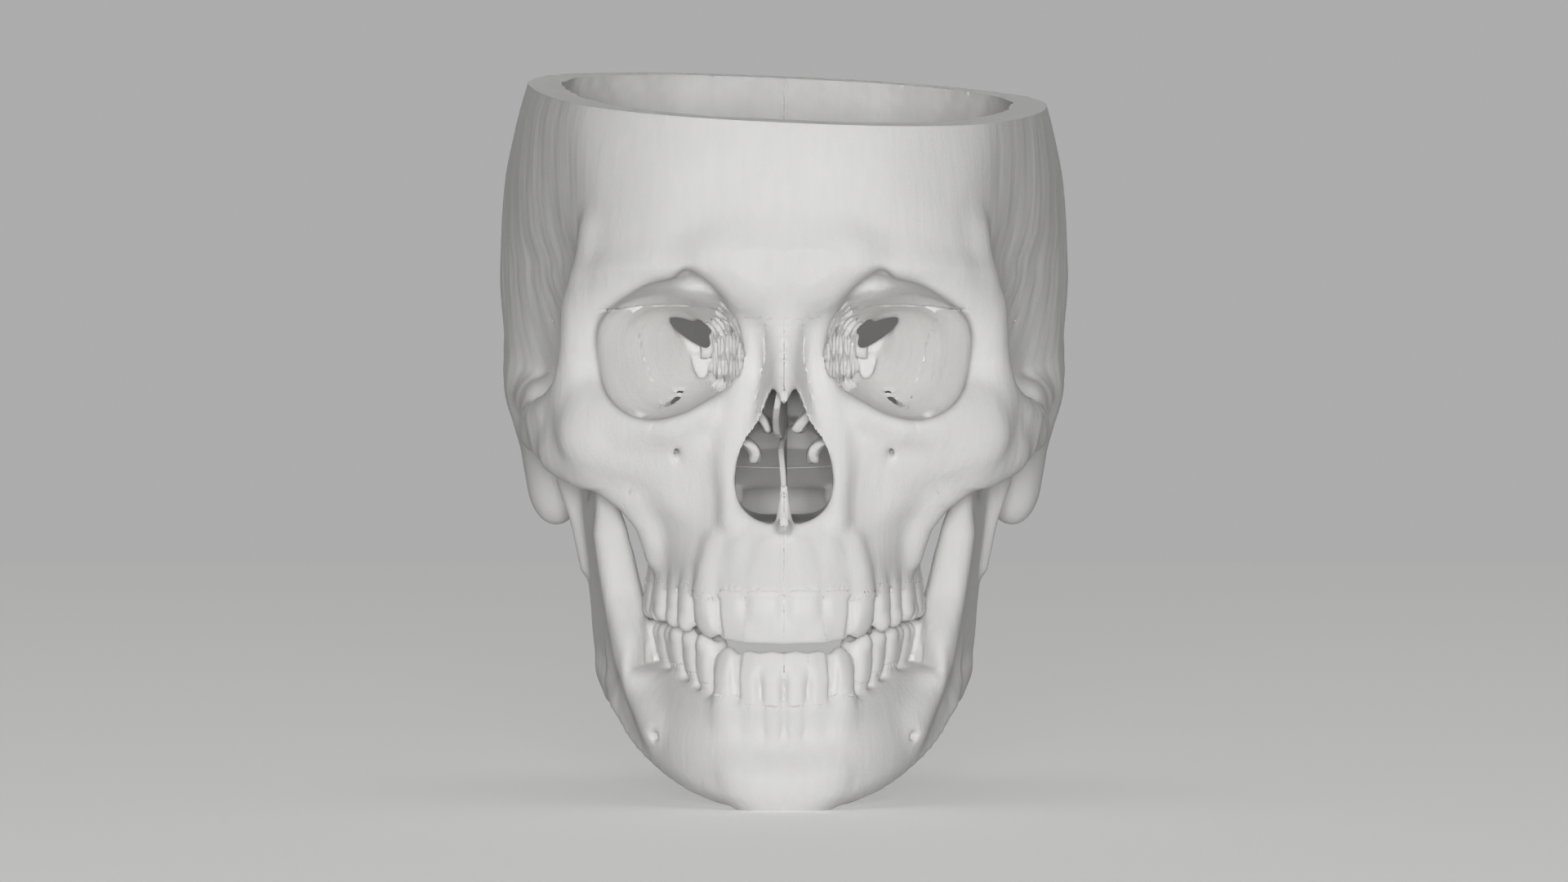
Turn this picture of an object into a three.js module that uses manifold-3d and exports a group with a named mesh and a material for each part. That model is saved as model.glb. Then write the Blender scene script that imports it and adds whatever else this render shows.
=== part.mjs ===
// A human skull with its roof sawn off, built as separate bones and teeth that meet at their sutures.
// Millimetres. +Z is up, the face looks along -Y and the skull's own left side is +X.
// While it is modelled, the ear line is Y 0 and Z 0. At the end the skull is stood on its chin, over the origin.
import * as THREE from 'three';
import { mergeVertices } from 'three/addons/utils/BufferGeometryUtils.js';
import Module from 'manifold-3d';

const wasm = await Module();
wasm.setup();
const { Manifold, Mesh: SolidMesh } = wasm;

// Head
const cranialBreadth = 150;
const earToFace = 98;
const earToOcciput = 86;
const earToChin = 97;
const vaultWall = 9;
const sutureGap = 0.35;

// The saw cut that opens the braincase: its height over the ear line, its rise to the back and its roll
const cutHeight = 84.4;
const cutRiseShare = 0.125;
const cutRollShare = -0.045;

// Eye sockets
const orbitBreadthShare = 0.2387;
const orbitHeight = 35.4;
const opticCanalDiameter = 4.6;
const cheekHoleDiameter = 3.4;

// Nose
const noseWidth = 22;
const noseFloorWidth = 29;
const apertureFloorWidth = 25;
const palatineWall = 2.5;
const septumThickness = 1.8;
const conchaThickness = 1.5;
const laminaThickness = 1.3;
const airCellSize = 8;
const nasalBoneThickness = 3;

// Cheek
const archHeight = 9;
const archThickness = 5;

// Base of the skull
const foramenLength = 35;
const foramenWidth = 30;
const occipitalCondyleWidth = 10;
const mastoidWidth = 18;
const styloidDiameter = 4.6;
const earHoleDiameter = 8;
const nerveHoleDiameter = 5;
const veinHoleDiameter = 7.5;
const pyramidWidth = 18;
const smallWingDepth = 18;

// Jaw joint
const condyleLength = 19;
const condyleDiameter = 9;
const discThickness = 1.8;
const jointClearance = 0.35;
const seatEndClearance = 1.4;
const glideTravel = 8;
const glideSlopeShare = 0.7;

// Lower jaw
const jawBodyHeight = 25;
const jawBodyThickness = 11;
const ramusThickness = 6.5;
const chinWidth = 30;
const chinHoleDiameter = 3.4;

// Teeth: the upper central incisor sets the sizes. Every tooth, from the midline back, takes its width, depth, crown
// and root as shares of that one's.
const incisorWidth = 8.2;
const incisorDepth = 6.8;
const incisorCrown = 12.4;
const incisorRoot = 12.5;
const upperToothShares = {
  central_incisor: [1, 1, 1, 1],
  lateral_incisor: [0.8, 0.91, 0.95, 0.96],
  canine: [0.89, 1.15, 0.935, 1.12],
  first_premolar: [0.82, 1.26, 0.76, 0.92],
  second_premolar: [0.79, 1.26, 0.71, 0.92],
  first_molar: [1.195, 1.53, 0.645, 0.84],
  second_molar: [1.12, 1.5, 0.615, 0.8],
  third_molar: [0.975, 1.35, 0.55, 0.72],
};
const lowerToothShares = {
  central_incisor: [0.6, 0.85, 1.015, 0.88],
  lateral_incisor: [0.645, 0.88, 1, 0.92],
  canine: [0.79, 1.06, 1, 1],
  first_premolar: [0.82, 1.12, 0.79, 0.92],
  second_premolar: [0.84, 1.15, 0.695, 0.92],
  first_molar: [1.27, 1.44, 0.63, 0.84],
  second_molar: [1.22, 1.41, 0.6, 0.8],
  third_molar: [1.145, 1.35, 0.55, 0.72],
};
const toothGap = 0.45;
const upperRidgeDepth = 8.5;
const lowerRidgeDepth = 8;
const ridgeCover = 1.3;
const ridgeEndShare = 0.75;
const socketClearance = 0.3;
const cuspHeight = 1.1;
const edgeThickness = 1.6;

const orbitWidth = cranialBreadth * orbitBreadthShare;

// Places are shares of a grid. The head is 1.5 units broad; its face, back and chin lie at these shares of a unit.
const gridShares = { breadth: 1.5, face: 0.98, occiput: 0.86, chin: 0.97 };
const unitX = cranialBreadth / gridShares.breadth;
const unitFront = earToFace / gridShares.face;
const unitBack = earToOcciput / gridShares.occiput;
const unitZ = earToChin / gridShares.chin;
const placeX = (share) => share * unitX;
const placeY = (share) => share * (share < 0 ? unitFront : unitBack);
const placeZ = (share) => share * unitZ;
const place = ([x, y, z]) => new THREE.Vector3(placeX(x), placeY(y), placeZ(z));

const X = new THREE.Vector3(1, 0, 0);
const Y = new THREE.Vector3(0, 1, 0);
const Z = new THREE.Vector3(0, 0, 1);

// Solids

function toSolid(geometry) {
  const bare = geometry.clone();
  bare.deleteAttribute('normal');
  bare.deleteAttribute('uv');
  const merged = mergeVertices(bare, 1e-4);
  const vertProperties = new Float32Array(merged.attributes.position.array);
  const triVerts = new Uint32Array(merged.index.array);
  const solid = new Manifold(new SolidMesh({ numProp: 3, vertProperties, triVerts }));
  if (solid.volume() > 0) return solid;
  return new Manifold(new SolidMesh({ numProp: 3, vertProperties, triVerts: triVerts.reverse() }));
}

function toGeometry(solid) {
  const { vertProperties, triVerts } = solid.getMesh();
  const geometry = new THREE.BufferGeometry();
  geometry.setAttribute('position', new THREE.BufferAttribute(new Float32Array(vertProperties), 3));
  geometry.setIndex(new THREE.BufferAttribute(new Uint32Array(triVerts), 1));
  geometry.computeVertexNormals();
  return geometry;
}

const join = (...solids) => Manifold.union(solids);
const cut = (solid, ...tools) => solid.subtract(Manifold.union(tools));
const meet = (...solids) => Manifold.intersection(solids);
const mirrored = (solid) => toSolid(toGeometry(solid).scale(-1, 1, 1));
const bothSides = (solid) => join(solid, mirrored(solid));

// The largest piece of a solid, without the crumbs that a cut leaves
function mainPiece(solid) {
  return solid.decompose().reduce((a, b) => (a.volume() > b.volume() ? a : b));
}

// A closed skin through rings of points, each ring ordered alike
function loftGeometry(rings) {
  const sides = rings[0].length;
  const points = rings.flat();
  const indices = [];
  for (let r = 0; r + 1 < rings.length; r++) {
    for (let i = 0; i < sides; i++) {
      const a = r * sides + i;
      const b = r * sides + ((i + 1) % sides);
      indices.push(a, b, b + sides, a, b + sides, a + sides);
    }
  }
  for (const [r, reversed] of [[0, true], [rings.length - 1, false]]) {
    const hub = points.length;
    points.push(rings[r].reduce((sum, p) => sum.add(p), new THREE.Vector3()).divideScalar(sides));
    for (let i = 0; i < sides; i++) {
      const a = r * sides + i;
      const b = r * sides + ((i + 1) % sides);
      indices.push(...(reversed ? [b, a, hub] : [a, b, hub]));
    }
  }
  const geometry = new THREE.BufferGeometry().setFromPoints(points);
  geometry.setIndex(indices);
  return geometry;
}
const loft = (rings) => toSolid(loftGeometry(rings));

// A ring with half sizes a and b along two directions, squarer as its power grows
function roundRing(centre, u, v, a, b, power = 2, sides = 8) {
  return Array.from({ length: sides }, (_, i) => {
    const angle = ((i + 0.5) / sides) * 2 * Math.PI;
    const c = Math.cos(angle);
    const s = Math.sin(angle);
    const along = Math.sign(c) * Math.abs(c) ** (2 / power) * a;
    const across = Math.sign(s) * Math.abs(s) ** (2 / power) * b;
    return centre.clone().addScaledVector(u, along).addScaledVector(v, across);
  });
}

// A bar through stations, each a place with a half width and a half height
function bar(stations, sides = 8, up = Z, power = 2.6) {
  const rings = stations.map(({ point, halfWidth, halfHeight }, i) => {
    const before = stations[Math.max(i - 1, 0)].point;
    const after = stations[Math.min(i + 1, stations.length - 1)].point;
    const along = after.clone().sub(before).normalize();
    const side = new THREE.Vector3().crossVectors(up, along).normalize();
    const top = new THREE.Vector3().crossVectors(along, side);
    return roundRing(point, side, top, halfWidth, halfHeight, power, sides);
  });
  return loft(rings);
}

// Rows of a place and two half sizes, as shares of a width and a height
function shareBar(rowShares, width, height, sides, up, power) {
  const stations = rowShares.map(([x, y, z, w, h]) => ({
    point: place([x, y, z]),
    halfWidth: (w * width) / 2,
    halfHeight: (h * height) / 2,
  }));
  return bar(stations, sides, up, power);
}

function ellipsoid(centre, halfX, halfY, halfZ, around = 12, down = 7) {
  const geometry = new THREE.SphereGeometry(1, around, down);
  geometry.rotateX(Math.PI / 2).scale(halfX, halfY, halfZ).translate(centre.x, centre.y, centre.z);
  return toSolid(geometry);
}

// A straight round hole or peg between two points
function rod(from, to, diameter, sides = 8, endDiameter = diameter) {
  const geometry = new THREE.CylinderGeometry(endDiameter / 2, diameter / 2, from.distanceTo(to), sides);
  const turn = new THREE.Quaternion().setFromUnitVectors(Y, to.clone().sub(from).normalize());
  const middle = from.clone().lerp(to, 0.5);
  geometry.applyQuaternion(turn).translate(middle.x, middle.y, middle.z);
  return toSolid(geometry);
}

// An outline moved outwards by a distance, corner by corner
function grow(outline, distance) {
  const outward = THREE.ShapeUtils.area(outline) > 0 ? distance : -distance;
  return outline.map((p, i) => {
    const a = p.clone().sub(outline[(i + outline.length - 1) % outline.length]).normalize();
    const b = outline[(i + 1) % outline.length].clone().sub(p).normalize();
    const miter = new THREE.Vector2(a.y + b.y, -a.x - b.x);
    return p.clone().addScaledVector(miter, outward / Math.max(1 + a.dot(b), 0.3));
  });
}

// A prism drawn in one view: side shows Y and Z, front shows X and Z, top shows X and Y.
const views = {
  side: { axes: [Y, Z, X], places: [placeY, placeZ, placeX] },
  front: { axes: [X, Z, Y.clone().negate()], places: [placeX, placeZ, (share) => -placeY(share)] },
  top: { axes: [X, Y, Z], places: [placeX, placeY, placeZ] },
};
function prism(view, outlineShares, [fromShare, toShare] = [-3, 3], growth = 0) {
  const { axes, places } = views[view];
  const outline = outlineShares.map(([a, b]) => new THREE.Vector2(places[0](a), places[1](b)));
  const [from, to] = [places[2](fromShare), places[2](toShare)].sort((a, b) => a - b);
  const geometry = new THREE.ExtrudeGeometry(new THREE.Shape(grow(outline, growth)), {
    depth: to - from + 2 * growth,
    bevelEnabled: false,
  });
  geometry.translate(0, 0, from - growth);
  geometry.applyMatrix4(new THREE.Matrix4().makeBasis(...axes));
  return toSolid(geometry);
}

// What lies inside each of the given views
const region = (outlines, growth = 0) =>
  meet(...Object.entries(outlines).map(([view, shares]) => prism(view, shares, [-3, 3], growth)));

// A ring from the points of its left half, closed by their mirror image
function mirrorRing(halfShares, z, inset = 0) {
  const left = halfShares.map(([x, y]) => new THREE.Vector3(Math.max(placeX(x) - inset, 0), placeY(y) + inset, z));
  const right = left.slice(1, -1).reverse().map((p) => new THREE.Vector3(-p.x, p.y, p.z));
  return [...left, ...right];
}

// Braincase: at each level a half ring from the midline in front, round the side, to the midline behind
const vaultShares = [
  [-0.28, [[0, 0.315], [0.05, 0.32], [0.09, 0.33], [0.12, 0.355], [0.14, 0.38], [0.15, 0.4], [0.15, 0.42],
    [0.145, 0.44], [0.13, 0.455], [0.11, 0.47], [0.08, 0.485], [0.05, 0.495], [0.02, 0.5], [0, 0.5]]],
  [-0.25, [[0, 0.2], [0.06, 0.21], [0.12, 0.22], [0.17, 0.25], [0.21, 0.28], [0.24, 0.32], [0.26, 0.36],
    [0.26, 0.4], [0.25, 0.44], [0.22, 0.5], [0.16, 0.55], [0.09, 0.58], [0.04, 0.59], [0, 0.595]]],
  [-0.18, [[0, 0], [0.08, 0.02], [0.16, 0.04], [0.26, 0.08], [0.36, 0.12], [0.44, 0.16], [0.48, 0.22],
    [0.5, 0.28], [0.5, 0.34], [0.47, 0.44], [0.4, 0.54], [0.3, 0.62], [0.16, 0.67], [0, 0.69]]],
  [-0.1, [[0, -0.2], [0.1, -0.2], [0.2, -0.18], [0.3, -0.12], [0.4, -0.06], [0.48, 0], [0.54, 0.06],
    [0.6, 0.12], [0.64, 0.2], [0.63, 0.3], [0.58, 0.44], [0.46, 0.6], [0.27, 0.72], [0, 0.75]]],
  [0, [[0, -0.4], [0.14, -0.4], [0.26, -0.38], [0.34, -0.34], [0.4, -0.29], [0.46, -0.22],
    [0.52, -0.14], [0.6, -0.04], [0.68, 0.06], [0.705, 0.16], [0.67, 0.4], [0.53, 0.63], [0.31, 0.77],
    [0, 0.8]]],
  [0.12, [[0, -0.48], [0.14, -0.48], [0.28, -0.45], [0.37, -0.42], [0.43, -0.38], [0.48, -0.32],
    [0.54, -0.24], [0.61, -0.1], [0.695, 0.04], [0.725, 0.16], [0.7, 0.42], [0.56, 0.66], [0.33, 0.81],
    [0, 0.845]]],
  [0.25, [[0, -0.7], [0.14, -0.68], [0.28, -0.62], [0.38, -0.56], [0.44, -0.5], [0.48, -0.44],
    [0.54, -0.34], [0.62, -0.18], [0.71, 0.02], [0.74, 0.18], [0.72, 0.42], [0.58, 0.66], [0.34, 0.82],
    [0, 0.86]]],
  [0.38, [[0, -0.96], [0.14, -0.955], [0.28, -0.92], [0.4, -0.86], [0.48, -0.77], [0.5, -0.66],
    [0.54, -0.5], [0.62, -0.28], [0.7, -0.05], [0.75, 0.18], [0.72, 0.42], [0.58, 0.66], [0.34, 0.82],
    [0, 0.86]]],
  [0.5, [[0, -0.965], [0.14, -0.955], [0.28, -0.92], [0.4, -0.845], [0.48, -0.75], [0.53, -0.62],
    [0.58, -0.46], [0.66, -0.24], [0.72, 0], [0.745, 0.2], [0.71, 0.44], [0.57, 0.67], [0.33, 0.82],
    [0, 0.86]]],
  [0.62, [[0, -0.96], [0.14, -0.95], [0.28, -0.91], [0.4, -0.83], [0.49, -0.73], [0.545, -0.6],
    [0.6, -0.44], [0.67, -0.22], [0.72, 0.02], [0.735, 0.2], [0.7, 0.44], [0.56, 0.66], [0.32, 0.81],
    [0, 0.85]]],
  [0.75, [[0, -0.94], [0.14, -0.93], [0.28, -0.885], [0.4, -0.805], [0.5, -0.69], [0.56, -0.56],
    [0.61, -0.41], [0.665, -0.2], [0.7, 0.02], [0.71, 0.2], [0.675, 0.43], [0.54, 0.64], [0.31, 0.79],
    [0, 0.835]]],
  [0.9, [[0, -0.89], [0.14, -0.875], [0.28, -0.83], [0.4, -0.74], [0.49, -0.62], [0.54, -0.5],
    [0.585, -0.36], [0.63, -0.17], [0.66, 0.02], [0.665, 0.2], [0.63, 0.42], [0.5, 0.62], [0.29, 0.76],
    [0, 0.8]]],
  [1.04, [[0, -0.83], [0.14, -0.815], [0.28, -0.77], [0.4, -0.68], [0.47, -0.57], [0.52, -0.46],
    [0.555, -0.33], [0.59, -0.15], [0.61, 0.02], [0.61, 0.2], [0.58, 0.4], [0.46, 0.58], [0.27, 0.71],
    [0, 0.75]]],
];

// The hollow is the vault drawn in by the wall. Under it lie the hollows of the floor: one over the eye sockets, one
// on each side over the jaw joints, and a deep one behind that leads down to the great hole.
const frontHollowShares = [
  [0.24, [[0, -0.3], [0.1, -0.33], [0.22, -0.36], [0.35, -0.34], [0.46, -0.25], [0.53, -0.09], [0.56, 0.06],
    [0.56, 0.2], [0.5, 0.34], [0.38, 0.46], [0.2, 0.55], [0, 0.58]]],
  [0.32, [[0, -0.36], [0.14, -0.42], [0.28, -0.46], [0.4, -0.43], [0.5, -0.32], [0.55, -0.13], [0.58, 0.06],
    [0.57, 0.2], [0.52, 0.36], [0.4, 0.5], [0.22, 0.6], [0, 0.63]]],
  [0.41, [[0, -0.84], [0.14, -0.81], [0.27, -0.75], [0.39, -0.65], [0.47, -0.44], [0.52, -0.24], [0.56, -0.02],
    [0.57, 0.18], [0.52, 0.36], [0.4, 0.5], [0.22, 0.6], [0, 0.63]]],
];
const middleHollowShares = [
  [0.02, [[0.24, -0.2], [0.27, -0.28], [0.34, -0.27], [0.4, -0.2], [0.42, -0.11], [0.38, -0.07], [0.3, -0.11]]],
  [0.05, [[0.16, -0.22], [0.23, -0.33], [0.33, -0.33], [0.42, -0.25], [0.49, -0.09], [0.42, -0.02], [0.26, -0.08]]],
  [0.12, [[0.11, -0.21], [0.18, -0.38], [0.32, -0.38], [0.44, -0.28], [0.55, -0.02], [0.47, 0.05], [0.24, -0.05]]],
  [0.2, [[0.1, -0.2], [0.18, -0.4], [0.34, -0.4], [0.46, -0.3], [0.58, 0], [0.52, 0.09], [0.25, -0.03]]],
  [0.3, [[0.1, -0.2], [0.2, -0.42], [0.37, -0.42], [0.5, -0.32], [0.57, -0.06], [0.5, 0.04], [0.26, -0.04]]],
];
const rearHollowShares = [
  [-0.185, [[0, 0.365], [0.1, 0.35], [0.21, 0.34], [0.26, 0.38], [0.24, 0.45], [0.14, 0.51], [0, 0.52]]],
  [-0.16, [[0, 0.31], [0.12, 0.285], [0.27, 0.31], [0.34, 0.38], [0.31, 0.48], [0.18, 0.56], [0, 0.58]]],
  [-0.1, [[0, 0.06], [0.18, 0.16], [0.35, 0.26], [0.43, 0.36], [0.39, 0.49], [0.21, 0.61], [0, 0.64]]],
  [-0.04, [[0, -0.02], [0.22, 0.08], [0.41, 0.21], [0.5, 0.35], [0.46, 0.49], [0.24, 0.665], [0, 0.71]]],
  [0.08, [[0, -0.07], [0.22, 0.04], [0.47, 0.19], [0.6, 0.35], [0.54, 0.52], [0.28, 0.715], [0, 0.755]]],
  [0.19, [[0, -0.12], [0.2, -0.02], [0.45, 0.14], [0.6, 0.31], [0.53, 0.5], [0.27, 0.69], [0, 0.73]]],
];
const domeShares = [
  [-1.2, 1.3], [-1.2, 0.374], [-0.62, 0.374], [-0.5, 0.36], [-0.2, 0.2], [-0.06, 0.164], [1.2, 0.164], [1.2, 1.3],
];

const ringOf = (outline, z) => outline.map(({ x, y }) => new THREE.Vector3(x, y, z));
function halfRingLoft(ringShares, inset = 0) {
  return loft(ringShares.map(([z, halfShares]) => {
    const left = halfShares.map(([x, y]) => new THREE.Vector2(placeX(x), placeY(y)));
    const right = left.slice(1, -1).reverse().map((p) => new THREE.Vector2(-p.x, p.y));
    return ringOf(grow([...left, ...right], -inset), placeZ(z));
  }));
}
const sideRingLoft = (ringShares) => loft(ringShares.map(([z, shares]) => (
  ringOf(shares.map(([x, y]) => new THREE.Vector2(placeX(x), placeY(y))), placeZ(z))
)));

const vaultOuter = halfRingLoft(vaultShares);
const hollow = join(
  meet(halfRingLoft(vaultShares.filter(([z]) => z > 0), vaultWall), prism('side', domeShares)),
  halfRingLoft(frontHollowShares),
  bothSides(sideRingLoft(middleHollowShares)),
  halfRingLoft(rearHollowShares),
);

// Face: half rings from the midline in front, round the cheek, to the midline behind
const faceShares = [
  [-0.4, [[0, -0.96], [0.07, -0.955], [0.14, -0.92], [0.21, -0.84], [0.265, -0.73], [0.305, -0.62],
    [0.335, -0.5], [0.345, -0.42], [0.31, -0.375], [0.24, -0.37], [0.16, -0.38], [0.08, -0.4],
    [0, -0.42]]],
  [-0.36, [[0, -0.95], [0.07, -0.94], [0.14, -0.9], [0.21, -0.82], [0.275, -0.72], [0.315, -0.62],
    [0.34, -0.52], [0.34, -0.44], [0.3, -0.39], [0.23, -0.38], [0.16, -0.39], [0.08, -0.41], [0, -0.42]]],
  [-0.28, [[0, -0.93], [0.07, -0.92], [0.14, -0.885], [0.21, -0.82], [0.28, -0.75], [0.335, -0.66],
    [0.345, -0.56], [0.33, -0.48], [0.29, -0.42], [0.22, -0.4], [0.16, -0.41], [0.08, -0.42], [0, -0.42]]],
  [-0.2, [[0, -0.9], [0.08, -0.89], [0.15, -0.875], [0.23, -0.835], [0.32, -0.78], [0.4, -0.7],
    [0.4, -0.62], [0.35, -0.53], [0.29, -0.45], [0.22, -0.41], [0.16, -0.41], [0.08, -0.42], [0, -0.42]]],
  [-0.12, [[0, -0.88], [0.08, -0.88], [0.15, -0.87], [0.24, -0.845], [0.35, -0.8], [0.46, -0.73],
    [0.5, -0.65], [0.43, -0.58], [0.33, -0.5], [0.24, -0.43], [0.16, -0.41], [0.08, -0.42], [0, -0.42]]],
  [-0.04, [[0, -0.88], [0.08, -0.88], [0.15, -0.87], [0.25, -0.86], [0.37, -0.82], [0.48, -0.75],
    [0.53, -0.67], [0.46, -0.6], [0.36, -0.53], [0.27, -0.45], [0.16, -0.41], [0.08, -0.42], [0, -0.42]]],
  [0.04, [[0, -0.89], [0.08, -0.88], [0.14, -0.865], [0.25, -0.86], [0.37, -0.82], [0.48, -0.75],
    [0.535, -0.69], [0.49, -0.62], [0.4, -0.55], [0.3, -0.47], [0.18, -0.42], [0.08, -0.42], [0, -0.42]]],
  [0.12, [[0, -0.9], [0.07, -0.88], [0.13, -0.85], [0.25, -0.85], [0.37, -0.81], [0.47, -0.75],
    [0.535, -0.7], [0.5, -0.64], [0.43, -0.57], [0.33, -0.49], [0.2, -0.42], [0.08, -0.42], [0, -0.42]]],
  [0.2, [[0, -0.91], [0.07, -0.895], [0.13, -0.86], [0.25, -0.86], [0.37, -0.82], [0.47, -0.76],
    [0.53, -0.71], [0.5, -0.65], [0.44, -0.58], [0.35, -0.49], [0.22, -0.42], [0.08, -0.42], [0, -0.42]]],
  [0.28, [[0, -0.94], [0.08, -0.92], [0.15, -0.89], [0.26, -0.885], [0.38, -0.84], [0.47, -0.78],
    [0.52, -0.725], [0.5, -0.66], [0.45, -0.58], [0.37, -0.49], [0.24, -0.42], [0.08, -0.42], [0, -0.42]]],
  [0.36, [[0, -0.95], [0.08, -0.944], [0.16, -0.92], [0.27, -0.903], [0.38, -0.86], [0.466, -0.795],
    [0.504, -0.73], [0.49, -0.65], [0.46, -0.56], [0.38, -0.48], [0.24, -0.42], [0.08, -0.42],
    [0, -0.42]]],
  [0.45, [[0, -0.9], [0.08, -0.895], [0.16, -0.88], [0.25, -0.85], [0.34, -0.8], [0.4, -0.75],
    [0.425, -0.69], [0.42, -0.63], [0.4, -0.55], [0.34, -0.48], [0.24, -0.42], [0.08, -0.42], [0, -0.42]]],
];
const faceBlock = halfRingLoft(faceShares);

// Bridge of the nose, and the passage under it
const bridgeShares = [
  [-0.02, [[0, -1], [0.055, -0.975], [0.1, -0.91], [0.13, -0.84], [0, -0.8]]],
  [0.05, [[0, -1.01], [0.045, -0.985], [0.085, -0.915], [0.11, -0.84], [0, -0.8]]],
  [0.16, [[0, -0.955], [0.035, -0.945], [0.085, -0.89], [0.1, -0.84], [0, -0.8]]],
  [0.26, [[0, -0.93], [0.05, -0.92], [0.09, -0.885], [0.1, -0.84], [0, -0.8]]],
];
const bridge = loft(bridgeShares.map(([z, halfShares]) => mirrorRing(halfShares, placeZ(z))));
const passageFootShare = -0.22;
const passageRings = bridgeShares.map(([z, halfShares]) => mirrorRing(halfShares, placeZ(z), nasalBoneThickness));
passageRings[0].forEach((p) => p.setZ(placeZ(passageFootShare)));
const passageTop = placeZ(bridgeShares.at(-1)[0]) - nasalBoneThickness;
passageRings.at(-1).forEach((p) => p.setZ(passageTop));
const nasalPassage = loft(passageRings);

// Cheek arch, swept from the cheekbone back to the root over the jaw joint
const archShares = [
  [0.45, -0.7, -0.09, 1.6, 1.7],
  [0.52, -0.6, -0.055, 1.3, 1.6],
  [0.595, -0.5, -0.02, 1, 1.1],
  [0.635, -0.4, -0.005, 0.9, 1],
  [0.65, -0.3, 0, 0.9, 0.9],
  [0.64, -0.2, 0.015, 1.1, 1],
  [0.61, -0.1, 0.04, 2, 1.1],
  [0.56, 0, 0.07, 3, 1.2],
];
const arch = shareBar(archShares, archThickness, archHeight, 8);

// Cheekbone, with its lower border that runs in to the upper jaw, and the brow round the eye socket
const cheekShares = [0.44, -0.725, -0.04];
const cheekSizeShares = { breadth: 1.35, depth: 1.5, height: 1.15 };
const cheek = ellipsoid(
  place(cheekShares), archHeight * cheekSizeShares.breadth, archThickness * cheekSizeShares.depth,
  archHeight * cheekSizeShares.height, 12, 8,
);
const cheekBorderShares = [
  [0.56, -0.61, -0.085, 1.6, 0.9],
  [0.5, -0.67, -0.12, 1.8, 1],
  [0.44, -0.7, -0.15, 1.8, 1],
  [0.38, -0.705, -0.2, 1.6, 0.9],
  [0.34, -0.69, -0.26, 1.4, 0.8],
];
const cheekBorder = shareBar(cheekBorderShares, archThickness, archHeight, 8, Z, 2);
const browShares = [
  [0.12, -0.895, 0.345, 1.6, 0.9],
  [0.21, -0.905, 0.38, 1.5, 0.8],
  [0.31, -0.87, 0.37, 1.4, 0.8],
  [0.4, -0.815, 0.34, 1.4, 0.8],
  [0.47, -0.755, 0.285, 1.4, 0.8],
  [0.505, -0.715, 0.21, 1.4, 0.8],
];
const brow = shareBar(browShares, archThickness, archHeight, 8, Z, 2);

// Body of the sphenoid with the saddle on top, running down the clivus to the edge of the great hole
const clivusShares = [
  [-0.43, -0.02], [-0.43, 0.29], [-0.36, 0.3], [-0.3, 0.27], [-0.26, 0.19], [-0.18, 0.185], [-0.16, 0.255],
  [-0.125, 0.26], [-0.1, 0.19], [-0.02, -0.03], [0.03, -0.13], [0, -0.17], [-0.06, -0.15], [-0.18, -0.04],
];
const clivusSpanShares = [-0.11, 0.11];
const clivus = prism('side', clivusShares, clivusSpanShares);

// Wing plates that hang behind the upper jaw on each side
const pterygoidShares = [
  [0.115, -0.42], [0.21, -0.42], [0.255, -0.28], [0.24, -0.275], [0.18, -0.36], [0.135, -0.36],
  [0.135, -0.28], [0.12, -0.28],
];
const pterygoidSpanShares = [-0.33, 0.06];
const pterygoid = prism('top', pterygoidShares, pterygoidSpanShares);

// The small wings, sharp ledges inside over the optic canals
const smallWingShares = [
  [0.04, -0.4, 0.3, 0.9, 0.35],
  [0.2, -0.42, 0.31, 0.6, 0.3],
  [0.38, -0.46, 0.33, 0.3, 0.2],
];
const smallWing = shareBar(smallWingShares, smallWingDepth, smallWingDepth, 6);

// The rock-hard pyramid that holds the ear, across the floor of the hollow
const pyramidShares = [
  [0.66, 0.12, 0.05, 1.2, 1.2],
  [0.5, 0.05, 0.06, 1, 1.1],
  [0.34, -0.02, 0.04, 0.9, 1],
  [0.22, -0.08, 0.03, 0.7, 0.75],
  [0.125, -0.125, 0.03, 0.4, 0.45],
];
const pyramid = shareBar(pyramidShares, pyramidWidth, pyramidWidth, 8, Z, 2);

// The mastoid, a blunt cone behind the ear hole, and the styloid, a spike in front of it
const mastoidShares = [
  [0.61, 0.17, 0.1, 0.9, 1.5],
  [0.61, 0.16, -0.04, 1, 1.6],
  [0.605, 0.14, -0.15, 0.85, 1.15],
  [0.595, 0.12, -0.23, 0.6, 0.7],
  [0.59, 0.115, -0.265, 0.3, 0.35],
];
const mastoid = shareBar(mastoidShares, mastoidWidth, mastoidWidth, 8, Y, 2);
const styloidShares = [[0.38, 0.03, -0.04], [0.335, -0.12, -0.42]];
const styloid = rod(...styloidShares.map(place), styloidDiameter, 6, styloidDiameter / 2);

// Occipital condyles, the two rockers beside the great hole
const rockerShares = [0.19, 0.1, -0.2];
const rockerHeightShare = 0.6;
const rocker = ellipsoid(
  place(rockerShares), occipitalCondyleWidth / 2, occipitalCondyleWidth,
  occipitalCondyleWidth * rockerHeightShare, 8, 6,
);

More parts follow.
